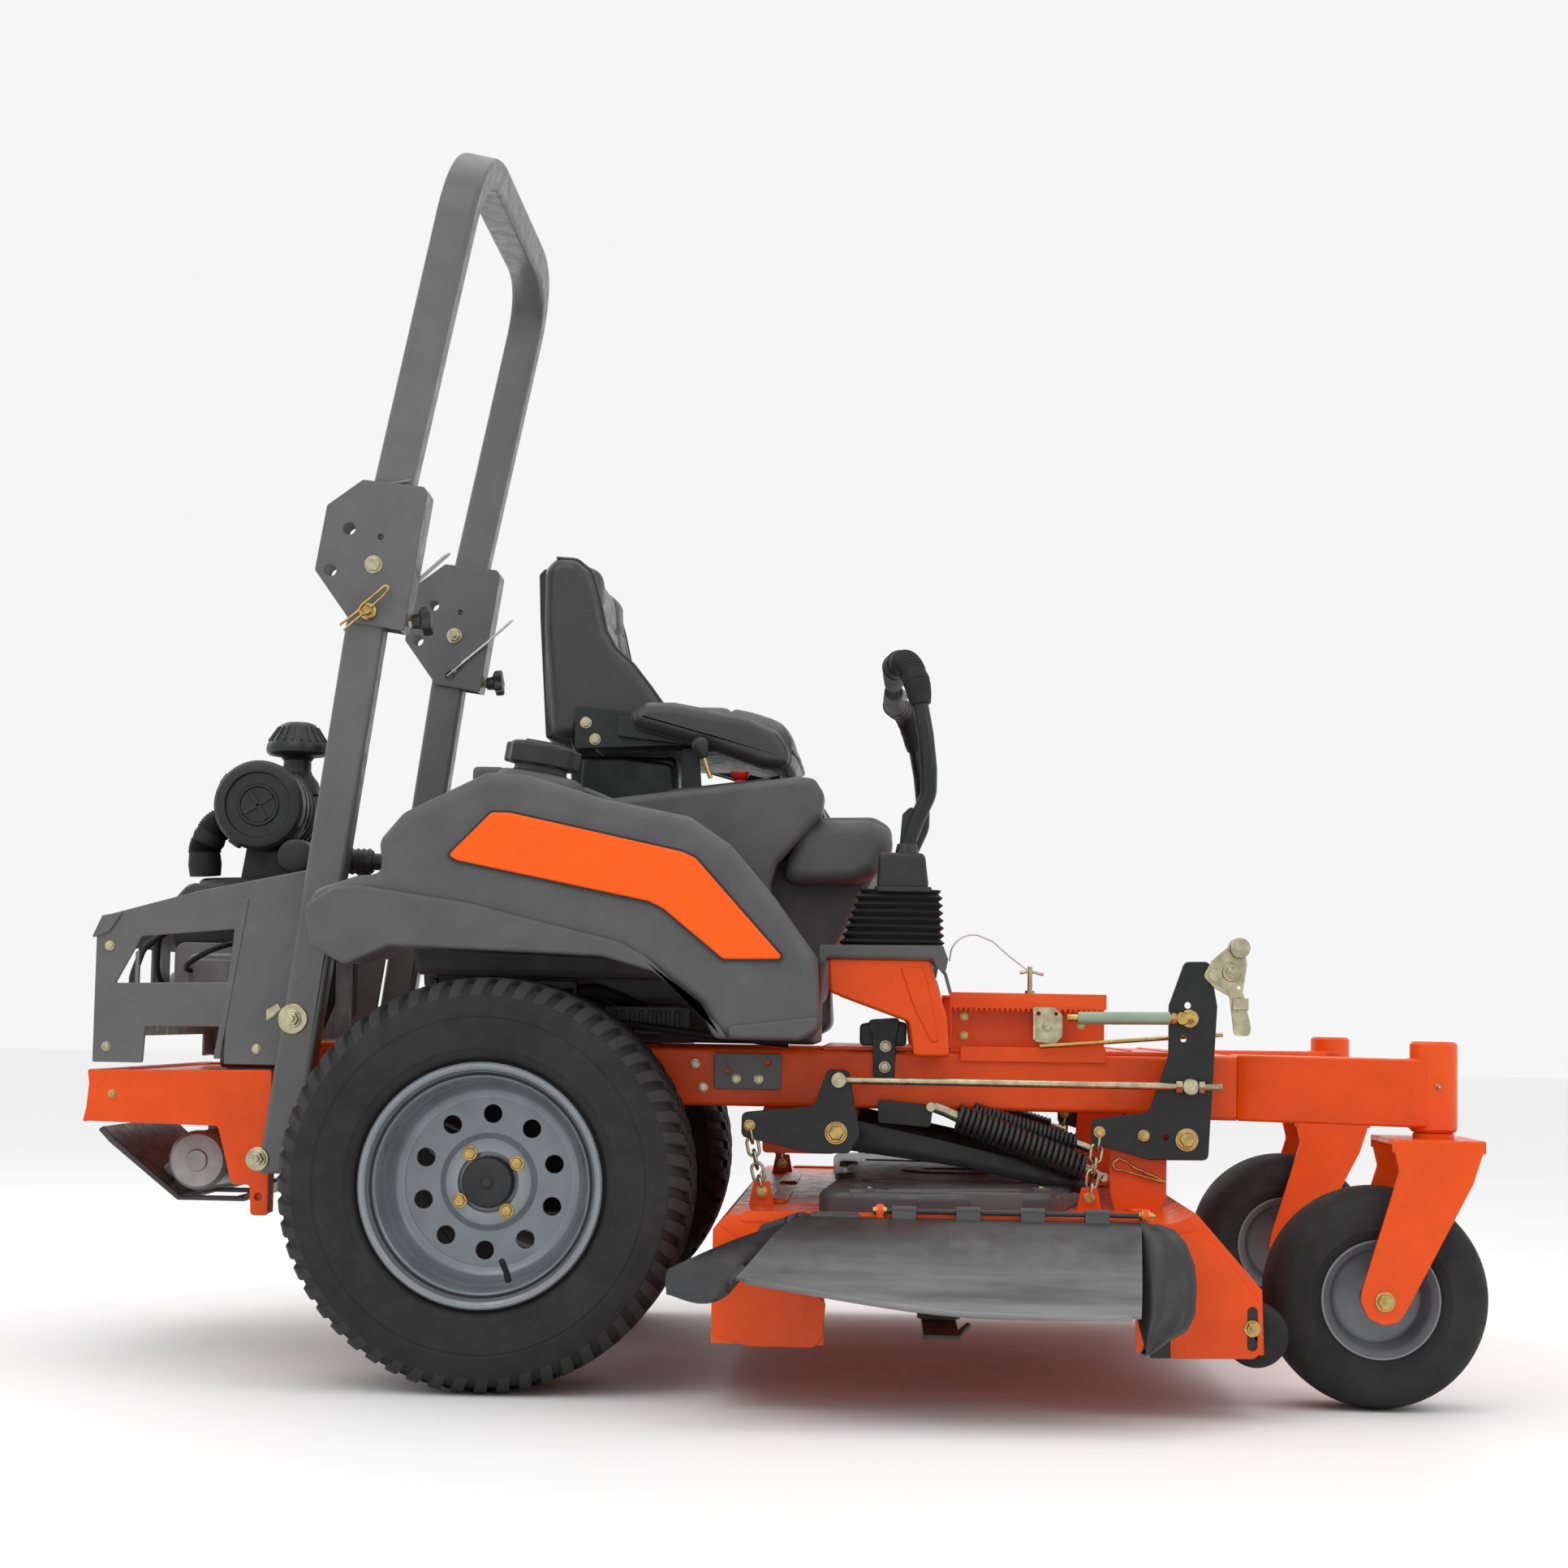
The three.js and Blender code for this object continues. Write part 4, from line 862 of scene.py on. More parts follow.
def floor_frame():
    """The floor with its treads, cross members and crank bearings."""
    half = 334.7
    floor = Solid()
    floor.slab("z", (481, 1060), (-half, half), 500.3, 506, radius=6, edge=1.2)
    for x in range(720, 1021, 60):
        for y in range(-250, 251, 50):
            shift = 25 if (x // 60) % 2 else 0
            floor.plate("z", slotted(x, y + shift - 12, x, y + shift + 12, 4), 505.5, 508.2, edge=1.2,
                steps=1)
    floor.slab("x", (-398, 398), (406, 503), 1030.4, 1110, radius=9, edge=0.8)
    floor.slab("x", (-284.7, 284.7), (420, 503), 481, 546, radius=8, edge=0.8)
    for s in (RIGHT, LEFT):
        floor.plate("y", [(1006, 420), (1006, 366), (1018, 352), (1044, 352), (1056, 366), (1056, 420)],
            s * 372, s * 392, [circle(LIFT_FRONT_X, LIFT_Z, 13)], radius=6, edge=1)
        floor.plate("y", [(484, 430), (484, 368), (494, 354), (522, 354), (532, 368), (532, 430)], s * 262,
            s * 280, [circle(LIFT_REAR_X, LIFT_Z, 13)], radius=6, edge=1)
    floor.fine("floor_frame", ORANGE, "chassis", angle=38)


def rear_frame():
    """The rear frame round the engine."""
    rear = Solid()
    side_plate = [(-640, 372), (-634, 450), (-355, 455), (-355, 234), (-382, 234), (-384, 280), (-412, 280),
        (-436, 368)]
    for s in (RIGHT, LEFT):
        rear.plate("y", side_plate, s * 384, s * GUARD_OUT, [circle(-370, 262, 6)], radius=7, edge=2)
        rear.slab("y", (-382, -356), (236, 452), s * 350, s * 386, radius=3, edge=1.5)
    rear.plate("y", [(-645, 371), (-640, 392), (-637, 430), (-640, 451), (-626, 451), (-630, 430),
        (-633, 392), (-637, 371)], -394, 394, radius=4, edge=1.5)
    rear.slab("z", (-630, -349), (-386, 386), 438, 446, radius=6, edge=1.5)
    rear.fine("rear_frame", ORANGE, "chassis", angle=38)
    bolt_row("rear_frame_bolts", "chassis", [(-600, -GUARD_OUT, 414)], (0, RIGHT, 0), 6)


# ---------- roll hoop ----------
PIVOT_X, PIVOT_Z = -212, 1226
LOCK_X, LOCK_Z = -217, 1153
LEAN = radians(11.2)
POST_TAN = tan(radians(7.45))


def sweep_section(solid, path, section, across, matrix):
    """A section of (across, out) points carried along a flat path."""
    count, points, faces = len(path), [], []
    for i, here in enumerate(path):
        ahead = (path[min(i + 1, count - 1)] - path[max(i - 1, 0)]).normalized()
        out = ahead.cross(across)
        points += [here + across * a + out * b for a, b in section]
    n = len(section)
    for i in range(count - 1):
        for k in range(n):
            a, b = i * n + k, i * n + (k + 1) % n
            faces.append((a, b, b + n, a + n))
    faces += [tuple(range(n)), tuple(range((count - 1) * n, count * n))]
    solid.add(points, faces, matrix)


def thumb_knob(solid, stud, place, towards):
    """A lobed hand knob on a threaded stud that stands on place."""
    turn = facing(place, towards)
    outline = []
    for t in around(60):
        r = 21 + 3 * cos(5 * t)
        outline.append((r * cos(t), r * sin(t)))
    solid.plate("z", outline, 19, 35, edge=4, steps=3, matrix=turn)
    solid.turned([(0, 5.2), (11, 5.2), (13, 19), (0, 19)], axis="z", segments=24, matrix=turn)
    stud.disc(4, (-2, 9), axis="z", segments=14, matrix=turn)
    stud.disc(9, (0, 5), axis="z", segments=6, matrix=turn)


def roll_hoop():
    """The folding hoop with its channels, knobs, pivot bolts and hairpins."""
    leg, beam, corner, half_beam, start = 423, 671, 556, 236, 42
    path = [Vector((0, leg, start))]
    bends = 26
    for side in (1, -1):
        curve = []
        for i in range(bends + 1):
            t = i / bends
            y = leg * ((1 - t) ** 2 + 2 * t * (1 - t)) + half_beam * t * t
            z = corner * (1 - t) ** 2 + beam * (2 * t * (1 - t) + t * t)
            curve.append(Vector((0, side * y, z)))
        path += curve if side > 0 else curve[::-1]
    path.append(Vector((0, -leg, start)))
    section = [tuple(p) for p in softened([(-30, -25), (30, -25), (30, 25), (-30, 25)], 9, 5)]
    leaning = turned_at((PIVOT_X, 0, PIVOT_Z), LEAN, "Y")
    hoop = Solid()
    sweep_section(hoop, path, section, X_AXIS, leaning)
    outline = [(-302, 1217), (-286, 1317), (-232, 1357), (-138, 1347), (-132, 1337), (-163, 1125),
        (-244, 1137)]
    holes = [circle(-251, 1281, 9.5), circle(-278, 1217, 9.5), circle(-202, 1269, 4.5),
        circle(LOCK_X, LOCK_Z, 9), circle(PIVOT_X, PIVOT_Z, 8.8)]
    flange = [(-146, 1347), (-138, 1347), (-132, 1337), (-163, 1125), (-170.5, 1126), (-141, 1335)]
    for s in (RIGHT, LEFT):
        hoop.plate("y", outline, s * 448.4, s * 454.4, holes, radius=7, edge=1.2)
        hoop.plate("y", outline, s * 391.6, s * 397.6, holes, radius=7, edge=1.2)
        hoop.plate("y", flange, s * 392, s * 454, radius=3, edge=2.6, steps=3)
        for z in (1304, 1346):
            x = PIVOT_X + (z - PIVOT_Z) * tan(LEAN)
            hoop.tube([(x - 29, s * 449.5, z), (x + 29, s * 449.5, z + 11.5)], 2.6, sides=8)
    hoop.fine("rops_hoop", GREY_PAINT, "rops", angle=36)

    knobs, studs = Solid(), Solid()
    wires = Solid()
    for s in (RIGHT, LEFT):
        thumb_knob(knobs, studs, (-160, s * 423, 1142), (1, 0, 0.12))
        # the pivot bolt's head and nut stand outside the channel
        studs.bolt((PIVOT_X, s * 454.4, PIVOT_Z), (0, s, 0), 12)
        studs.bolt((PIVOT_X, s * 391.6, PIVOT_Z), (0, -s, 0), 12, nut=True)
        # a hairpin clipped on the inner cheek, its legs reaching forward
        y = s * 387
        wires.tube([(-222, y - s * 2.4, 1152), (-150, y - s * 2.4, 1214), (-112, y - s * 2.4, 1249),
            (-104, y, 1257), (-113, y + s * 2.4, 1251), (-150, y + s * 2.4, 1217), (-196, y + s * 2.4,
            1178), (-210, y + s * 2.4, 1158)], 1.7, 7, sides=8)
    knobs.done("rops_thumb_knobs", BLACK_PLASTIC, "rops", angle=40)
    studs.done("rops_pivot_bolts", ZINC, "rops", bevel=0.4)
    wires.done("rops_stowed_hairpins", BARE_STEEL, "rops", angle=60)


def roll_posts():
    def at_z(z):
        """The middle of the leaning post at height z."""
        return PIVOT_X - (PIVOT_Z - z) * POST_TAN

    for name, s in SIDES:
        post_line = [(at_z(300) - 30, 300), (at_z(300) + 14, 300), (at_z(420) + 28, 420),
            (at_z(1190) + 30, 1190), (at_z(1238) + 30, 1238), (at_z(1251) + 18, 1251),
            (at_z(1251) - 18, 1251), (at_z(1238) - 30, 1238), (at_z(1190) - 30, 1190)]
        post = Solid()
        post.plate("y", post_line, s * POST_IN, s * POST_OUT, [circle(at_z(700) + 12, 700, 4)], radius=10,
            edge=8, steps=4)
        post.fine("rops_post_" + name, GREY_PAINT, "chassis", angle=40)
        big = Solid()
        for x, z, r in ((-315, 533, 23), (-362, 322, 18)):
            big.turned([(0, s * 446), (r, s * 446), (r, s * 449), (r - 1.5, s * 450.4), (0, s * 450.4)],
                (x, 0, z), segments=40)
            big.bolt((x, s * 450, z), (0, s, 0), 11.5, nut=True)
        big.plate("y", [(-357, 528), (-357, 546), (-340, 556), (-334, 548), (-346, 536)], s * 440, s * 443,
            radius=3, edge=0.7)
        big.done("rops_post_bolts_" + name, ZINC, "chassis", bevel=0.4)

        pin = Solid()
        pin.turned([(0, s * 448.7), (7, s * 448.7), (8, s * 450), (8, s * 474), (6, s * 477), (0, s * 477)],
            (LOCK_X, 0, LOCK_Z), segments=28)
        pin.turned([(0, s * 456), (11, s * 456), (13, s * 458), (13, s * 464), (11, s * 466), (0, s * 466)],
            (LOCK_X, 0, LOCK_Z), segments=28)
        pin.fine("rops_pin_" + name, GOLD_ZINC, "lock_pin_" + name, angle=30)
        clip = Solid()
        y = s * 470.5
        clip.tube([(-252, y, 1122), (-236, y, 1137), (LOCK_X, y, LOCK_Z), (-196, y, 1173), (-188, y, 1182),
            (-184, y, 1190), (-191, y, 1192), (-199, y, 1184), (-214, y, 1171), (-224, y, 1163),
            (-231, y, 1152), (-243, y, 1142), (-258, y, 1130)], 1.9, 6, sides=8)
        clip.done("rops_hairpin_" + name, GOLD_ZINC, "lock_pin_" + name, angle=60)


# ---------- engine ----------

def engine():
    """The block, its cooling fins and the shroud with its grille."""
    block = Solid()
    block.slab("z", (-556, -334), (-166, 166), 514, 692, radius=24, edge=6, steps=3)
    block.slab("z", (-484, -334), (-150, 150), 446.4, 522, radius=20, edge=5, steps=3)
    block.slab("x", (-160, 160), (452, 500), -490, -326, radius=14, edge=4)
    for s in (RIGHT, LEFT):
        for i in range(10):
            y = s * (174 + i * 7.4)
            block.slab("y", (-548, -342), (530, 650), y, y + s * 2.4, radius=20, edge=0.8, steps=1)
        block.slab("y", (-528, -362), (546, 634), s * 168, s * 250, radius=18, edge=5, steps=3)
        block.slab("y", (-516, -374), (556, 624), s * 246, s * 256, radius=14, edge=3, steps=2)
        for x in (-508, -382):
            for z in (564, 616):
                block.bolt((x, s * 250, z), (0, s, 0), 5.5)
        block.tube([(-420, s * 166, 668), (-420, s * 226, 672), (-420, s * 252, 648)], 7, 18)
    block.turned([(0, 0), (40, 0), (40, 78), (34, 84), (20, 86), (0, 86)], segments=40,
        matrix=turned_at((-552, 92, 566), pi / 2, "Z"))
    block.disc(58, (446.4, 470), (-445, 0, 0), "z", 40)
    block.done("engine_block_fine", CAST_GREY, "chassis", "engine", angle=38)

    cover = Solid()
    fan = (-440, 0, 0)
    cover.plate("y", [(-566, 680), (-566, 716), (-540, 746), (-335, 748), (-312, 732), (-312, 680)], -215,
        215, radius=24, edge=20, steps=6)
    cover.turned([(126, 744), (126, 756), (121, 760), (112, 760), (108, 756), (108, 744)], fan, "z", 72)
    cover.turned([(0, 744), (30, 744), (30, 757), (24, 759), (0, 759)], fan, "z", 36)
    for a in around(24):
        cover.box((24, 112), (-1.6, 1.6), (746, 757), turned_at(fan, a, "Z"))
    for radius in (52, 76, 96):
        cover.turned([(radius - 1.3, 750), (radius + 1.3, 750), (radius + 1.3, 758), (radius - 1.3, 758)],
            fan, "z", 60)
    for s in (RIGHT, LEFT):
        cover.plate("x", [(s * 150, 640), (s * 214, 640), (s * 214, 700), (s * 150, 700)], -560, -326,
            radius=16, edge=6, steps=3)
    cover.done("engine_shroud", ENGINE_BLACK, "chassis", bevel=0, angle=38)


def engine_fittings():
    """The dipstick, oil filter, breathers, leads and hoses."""
    extras = Solid()
    extras.tube([(-334, -120, 520), (-318, -122, 560), (-320, -122, 690), (-324, -122, 716)], 6, 20,
        sides=12)
    extras.turned([(0, 714), (12, 714), (13, 718), (13, 734), (10, 738), (0, 738)], (-324, -122, 0), "z",
        20)
    extras.disc(15, (0, 30), segments=20, matrix=turned_at((-330, 90, 480), -pi / 2, "Z"))
    for s in (RIGHT, LEFT):
        extras.turned([(0, -262), (17, -262), (19, -259), (19, -222), (17, -219), (13, -219), (13, -206),
            (0, -206)], (0, s * 338, 778), "x", 32)
        for i in range(4):
            x = -254 + 9 * i
            extras.turned([(18, x), (20.5, x + 0.8), (20.5, x + 3.4), (18, x + 4.2)], (0, s * 338, 778),
                "x", 32)
        extras.tube([(-234, s * 338, 762), (-234, s * 338, 730), (-238, s * 326, 640)], 9, 12, sides=14)
    extras.done("engine_dipstick", BLACK_PLASTIC, "chassis", angle=38)
    leads = Solid()
    for s in (RIGHT, LEFT):
        leads.tube([(-430, s * 252, 590), (-430, s * 276, 610), (-400, s * 262, 690), (-360, s * 214, 716)],
            4, 30, sides=10)
        leads.tube([(-500, s * 160, 700), (-590, s * 180, 690), (-598, s * 160, 590), (-548, s * 110, 548)],
            5.5, 50, sides=10)
    leads.tube([(-575, -150, 676), (-602, -230, 640), (-606, -300, 575), (-540, -330, 552),
        (-430, -322, 560), (-360, -250, 560)], 6, 60, sides=12)
    leads.tube([(-520, -172, 600), (-522, -300, 610), (-470, -322, 640), (-392, -210, 668)], 4.5, 50,
        sides=10)
    leads.done("engine_leads_and_hoses", FOAM, "chassis", slot="engine_black", angle=60)


def air_cleaner():
    """The canister, its pre-cleaner and the intake elbow."""
    x, z, r = -444, 877, 73
    bowl_x = -411
    cleaner = Solid()
    near, far = -150, 110
    body = [(0, near + 5), (28, near + 5), (30, near + 2.5), (33, near + 2.5), (35, near + 5),
        (52, near + 5), (54, near), (60, near), (68, near + 2), (r, near + 8), (r, near + 32),
        (r - 3, near + 35), (r - 3, near + 41), (r, near + 44), (r, near + 60), (r - 2.5, near + 62)]
    for k in range(5):
        y = near + 78 + 30 * k
        body += [(r - 2.5, y), (r - 0.5, y + 1.5), (r - 0.5, y + 5), (r - 2.5, y + 6.5)]
    body += [(r - 2.5, far - 10), (r - 8, far - 2), (0, far)]
    cleaner.turned(body, (x, 0, z), segments=80)
    for a in (0.55, 0.55 + pi / 2):
        dx, dz = cos(a), sin(a)
        cleaner.plate("y", [(x - 27 * dx - 3 * dz, z - 27 * dz + 3 * dx), (x + 27 * dx - 3 * dz,
            z + 27 * dz + 3 * dx), (x + 27 * dx + 3 * dz, z + 27 * dz - 3 * dx), (x - 27 * dx + 3 * dz,
            z - 27 * dz - 3 * dx)], near + 1.5, near + 6, edge=1)
    for a in range(4):
        t = radians(35 + 90 * a)
        cleaner.box((-9, 9), (near + 26, near + 52), (r - 4, r + 5), turned_at((x, 0, z), t, "Y"))
    cleaner.plate("y", [(-488, 744), (-474, 832), (-414, 832), (-400, 744)], -70, 50, radius=8, edge=3)
    cleaner.turned([(0, 905), (42, 905), (36, 925), (26, 938), (23, 946), (23, 966), (0, 966)],
        (bowl_x, 0, 0), "z", 56)
    cleaner.turned([(0, 962), (24, 962), (28, 967), (47, 970), (51.5, 974), (52.5, 980), (51, 988),
        (46, 996), (33, 1016), (28, 1022), (20, 1025.5), (0, 1027)], (bowl_x, 0, 0), "z", 72)
    for a in around(20):
        c, d = cos(a), sin(a)
        cleaner.tube([(bowl_x + 49 * c, 49 * d, 993), (bowl_x + 33 * c, 33 * d, 1017.5)], 1.6, sides=8)
    cleaner.turned([(0, -158), (22, -158), (27, -155), (29, -149), (29, -70), (0, -70)], (-380, 0, 794),
        segments=40)
    cleaner.fine("air_cleaner", BLACK_PLASTIC, "chassis", slot="engine_black", angle=34)
    hose = Solid()
    line = [(-490, -60, 862), (-532, -60, 846), (-549, -60, 810), (-546, -60, 764)]
    steps = halved(softened(line, 30, 8, False))
    hose.tube(steps, [26 + (1.5 if i % 2 else -0.6) for i in range(len(steps))], sides=28)
    hose.done("intake_elbow", FOAM, "chassis", slot="engine_black", angle=60)


def exhaust_and_guards():
    """The muffler and the guards round the engine."""
    can = Solid()
    can.turned([(0, -243), (16, -243), (17, -241.5), (18, -239), (30, -238), (41, -236), (45, -229),
        (47, -225), (47, -221), (45, -220), (45, -80), (46.4, -78), (46.4, 78), (45, 80), (45, 220),
        (47, 221), (47, 225), (45, 229), (41, 236), (30, 238), (18, 239), (17, 241.5), (16, 243), (0, 243)],
        (-503, 0, 307), segments=64)
    for y in (-100, 100):
        can.tube([(-503, y, 330), (-503, y, 420), (-500, y * 1.1, 437.5)], 15, 20, sides=20)
    can.tube([(-503, -150, 307), (-545, -150, 300), (-566, -150, 282)], 14, 16, sides=20)
    can.fine("muffler", ALUMINISED, "chassis", angle=34)
    refined("muffler_guard", DARK_STEEL, "chassis", "black_steel", 2.2)
    refined("engine_guard", GREY_PAINT, "chassis", "grey_paint", 2.4)
    folds = Solid()
    for s in (RIGHT, LEFT):
        folds.plate("y", [(-408, 716), (-398, 718), (-436, 470), (-446, 470)], s * 393, s * 397.6, radius=2,
            edge=1.4)
        folds.plate("y", [(-640, 650), (-624, 686), (-592, 692), (-612, 662)], s * 394, s * 401, radius=3,
            edge=1.4)
        folds.plate("y", [(-572, 560), (-566, 560), (-566, 632), (-572, 632)], s * 384, s * 394, radius=2,
            edge=1)
    folds.done("engine_guard_folds", GREY_PAINT, "chassis")
    trim = Solid()
    for s in (RIGHT, LEFT):
        for px, pz in ((-612, 486), (-380, 486), (-612, 640)):
            trim.bolt((px, s * GUARD_OUT, pz), (0, s, 0), 6.5)
    trim.done("engine_guard_bolts", ZINC, "chassis", bevel=0.35)


# ---------- fuel tanks ----------
TANK_EDGE = [(-276, 682), (-261, 724), (-200, 745), (-161, 749), (-168, 797), (-133, 839), (-40, 886),
    (-10, 901), (50, 898), (164, 864), (289, 840), (350, 799), (410, 729), (477, 636), (484, 531),
    (455, 515), (332, 516), (307, 563), (240, 612), (164, 633), (-146, 643), (-210, 614), (-262, 640)]
INSET = [(-64, 776), (-1, 841), (26, 841), (280, 788), (300, 779), (428, 638), (424, 632), (342, 631),
    (253, 703), (232, 713), (-50, 768)]
CAP_TILT = radians(9)
TANK_NEAR, TANK_FAR = 355.5, 600


def grown(points, amount):
    """An outline moved outwards by amount."""
    loop = [Vector(p) for p in points]
    if turning_area(loop) < 0:
        loop = loop[::-1]
    return [tuple(p) for p in shrunk(loop, -amount)]


def fuel_tank(name, s):
    """A moulded tank that is also the fender, with its inset panel and cap."""
    tank = Solid()
    tank.plate("y", TANK_EDGE, s * 456.5, s * TANK_FAR, radius=26, edge=(3, 20) if s > 0 else (20, 3),
        steps=6, corner_steps=7)
    inner = [(-210, 742), (-200, 745), (-161, 749), (-168, 797), (-133, 839), (-40, 886), (-10, 901),
        (50, 898), (164, 864), (289, 840), (350, 799), (410, 729), (477, 636), (484, 531), (455, 515),
        (332, 516), (307, 563), (240, 612), (164, 633), (-146, 643), (-210, 616)]
    tank.plate("y", inner, s * TANK_NEAR, s * 460, radius=26, edge=(20, 2) if s > 0 else (2, 20), steps=5,
        corner_steps=7)
    # the flared fender lip over the tyre
    lip = [(-272, 700), (-228, 728), (-193, 731), (-34, 709), (60, 686), (190, 656), (231, 634), (273, 595),
        (340, 534), (352, 517), (332, 516), (307, 563), (240, 612), (164, 633), (-146, 643), (-210, 614),
        (-262, 640)]
    tank.plate("y", lip, s * 570, s * 608, radius=16, edge=6, steps=5, corner_steps=6)
    tank.plate("y", [(350, 536), (352, 517), (455, 517), (482, 533), (480, 552)], s * 570, s * 605,
        radius=12, edge=6, steps=4)
    tank.plate("y", grown(INSET, 5), s * 590, s * 602.5, radius=14, edge=2.5, steps=3)
    # the seat for the cap, the boss behind it and the strap's saddle
    tilt = turned_at((52, s * CAP_Y, 903), CAP_TILT, "Y")
    tank.turned([(0, -40), (74, -40), (72, -8), (62, 2), (56, 4), (44, 5), (40, 8), (40, 15), (0, 15)],
        axis="z", segments=56, matrix=tilt)
    tank.slab("z", (-46, 2), (s * 440, s * 500), 878, 916, radius=12, edge=7, steps=4)
    tank.tube([(92, s * 448, 884), (120, s * 444, 884), (146, s * 440, 874), (176, s * 438, 860)], 11, 20,
        sides=18, flat=(16, 7))
    tank.fine("fuel_tank_" + name, GREY_PLASTIC, "chassis", angle=50)

    gasket = Solid()
    gasket.plate("y", grown(INSET, 2.6), s * 600.5, s * 604.6, radius=12, edge=1.2)
    gasket.done("tank_gasket_" + name, BLACK_PLASTIC, "chassis")
    panel = Solid()
    panel.plate("y", grown(INSET, -1), s * 600.4, s * 609.5, radius=11, edge=(0.8, 3.4) if s > 0 else (3.4,
        0.8), steps=4, corner_steps=6)
    panel.fine("tank_panel_" + name, PANEL_ORANGE, "chassis", angle=50)

    cap = Solid()
    lobes = []
    for a in around(120):
        r = 54.5 + 3.2 * max(-0.75, cos(8 * a))
        lobes.append((r * cos(a), r * sin(a)))
    cap.plate("z", lobes, 15.6, 46, edge=4, steps=4, matrix=tilt)
    cap.turned([(0, 15.4), (50, 15.4), (50, 47), (46, 49.5), (40, 50.5), (37, 49), (34, 50.5), (0, 51.5)],
        axis="z", segments=72, matrix=tilt)
    cap.slab("z", (-30, 30), (-4, 4), 49, 55, radius=4, edge=1.6, matrix=tilt)
    cap.fine("fuel_cap_" + name, BLACK_PLASTIC, "tank_cap_" + name, angle=42)
    strap = Solid()
    strap.tube([(4, s * 516, 890), (-24, s * 500, 898), (-30, s * 470, 914), (-18, s * 440, 912),
        (-6, s * 428, 898)], 3, 22, sides=10, flat=(5, 1.6))
    strap.done("fuel_cap_strap_" + name, FOAM, "chassis", slot="black_plastic", angle=60)


# ---------- seat pod, seat and armrests ----------

def seat_pod():
    """The moulded pod under the seat, with its consoles."""
    pod = Solid()
    middle = [(-150, 566), (-150, 800), (60, 862), (300, 866), (470, 864), (556, 866), (584, 850),
        (586, 822), (548, 752), (487, 640), (474, 566)]
    pod.plate("y", middle, -257, 257, radius=34, edge=14, steps=5, corner_steps=8)
    pod.slab("z", (-146, 470), (-220, 220), 506.4, 580, radius=20, edge=6, steps=3)
    bulge = [(410, 754), (440, 848), (475, 856), (548, 857), (580, 844), (588, 817), (562, 772), (530, 758)]
    for s in (RIGHT, LEFT):
        console = [(-150, 604), (-150, 800), (30, 850), (138, 881), (284, 901), (440, 921), (464, 918),
            (479, 895), (475, 860), (436, 816), (408, 784), (398, 752), (410, 604)]
        pod.plate("y", console, s * 250, s * 355, radius=16, edge=(8, 14) if s > 0 else (14, 8), steps=5,
            corner_steps=6)
        pod.plate("y", bulge, s * 236, s * 330, radius=26, edge=(8, 24) if s > 0 else (24, 8), steps=6,
            corner_steps=8)
    pod.fine("seat_pod", GREY_PLASTIC, "chassis", angle=48)
    panel = Solid()
    slope = atan2(40, 308)
    lean = turned_at((300, 0, 903), -slope, "Y")
    panel.slab("z", (-64, 96), (-332, -276), -2, 3.4, radius=10, edge=1.4, matrix=lean)
    panel.turned([(0, 3), (11, 3), (11, 6), (9, 7.5), (0, 7.5)], (-34, -304, 0), "z", 28, matrix=lean)
    panel.slab("z", (-64, 96), (276, 332), -2, 3.4, radius=10, edge=1.4, matrix=lean)
    panel.turned([(0, 3), (34, 3), (35, 5), (35, 9), (32, 11), (0, 11)], (-14, 304, 0), "z", 48,
        matrix=lean)
    panel.done("console_panels", BLACK_PLASTIC, "chassis", angle=40)
    cup = Solid()
    cup.turned([(0, 10), (29, 10), (31, 11.5), (29, 13), (24, 13), (22, 10.6), (0, 10.6)], (-14, 304, 0),
        "z", 48, matrix=lean)
    cup.done("hour_meter_bezel", ZINC, "chassis", angle=40)


def pillow(name, body, node, place, thick, seam, bulge, grooves, corner, rim=0.30, power=2.5, count=64):
    """A boxed cushion: place(u, v) gives a point and its outward normal on the middle sheet."""
    def spaced(k):
        t = 2 * k / count - 1
        return copysign(1 - (1 - abs(t)) ** 1.6, t)
    solid = Solid()
    points, top, under = [], {}, {}
    for i in range(count + 1):
        for j in range(count + 1):
            u, v = spaced(i), spaced(j)
            pinch = 1 - corner * (abs(u) ** 5) * (abs(v) ** 5)
            base, up = place(u * pinch, v * pinch)
            edge = max(abs(u), abs(v))
            s = min(1.0, (1 - edge) / rim)
            full = (1 - (1 - s) ** power) ** (1 / power)
            rise = thick * (1 - seam) + bulge(u, v)
            for at_u, at_v, depth, width in grooves:
                d = abs(u - at_u) if at_v is None else abs(abs(v) - at_v)
                rise -= depth * exp(-(d / width) ** 2)
            ripple = 0.5 * sin(23 * u + 3 * v) * sin(17 * v + 1.3)
            top[i, j] = len(points)
            points.append(base + up * ((rise + ripple) * full))
            if edge < 1 - 1e-6:
                under[i, j] = len(points)
                points.append(base - up * (thick * seam * min(1, full * 1.15)))
            else:
                under[i, j] = top[i, j]
    faces = []
    for i in range(count):
        for j in range(count):
            ring = [(i, j), (i + 1, j), (i + 1, j + 1), (i, j + 1)]
            faces.append(tuple(top[c] for c in ring))
            faces.append(tuple(under[c] for c in reversed(ring)))
    solid.add(points, faces)
    made = solid.done(name, VINYL, body, node, angle=80, weighted=False)
    border = Solid()
    rim_line = []
    steps = 40
    for side in range(4):
        for k in range(steps):
            t = 2 * k / steps - 1
            u, v = [(t, -1), (1, t), (-t, 1), (-1, -t)][side]
            pinch = 1 - corner * (abs(u) ** 5) * (abs(v) ** 5)
            rim_line.append(place(u * pinch, v * pinch)[0])
    border.tube(rim_line, 3.4, sides=10, closed=True)
    border.done(name + "_piping", VINYL, body, angle=80, weighted=False)


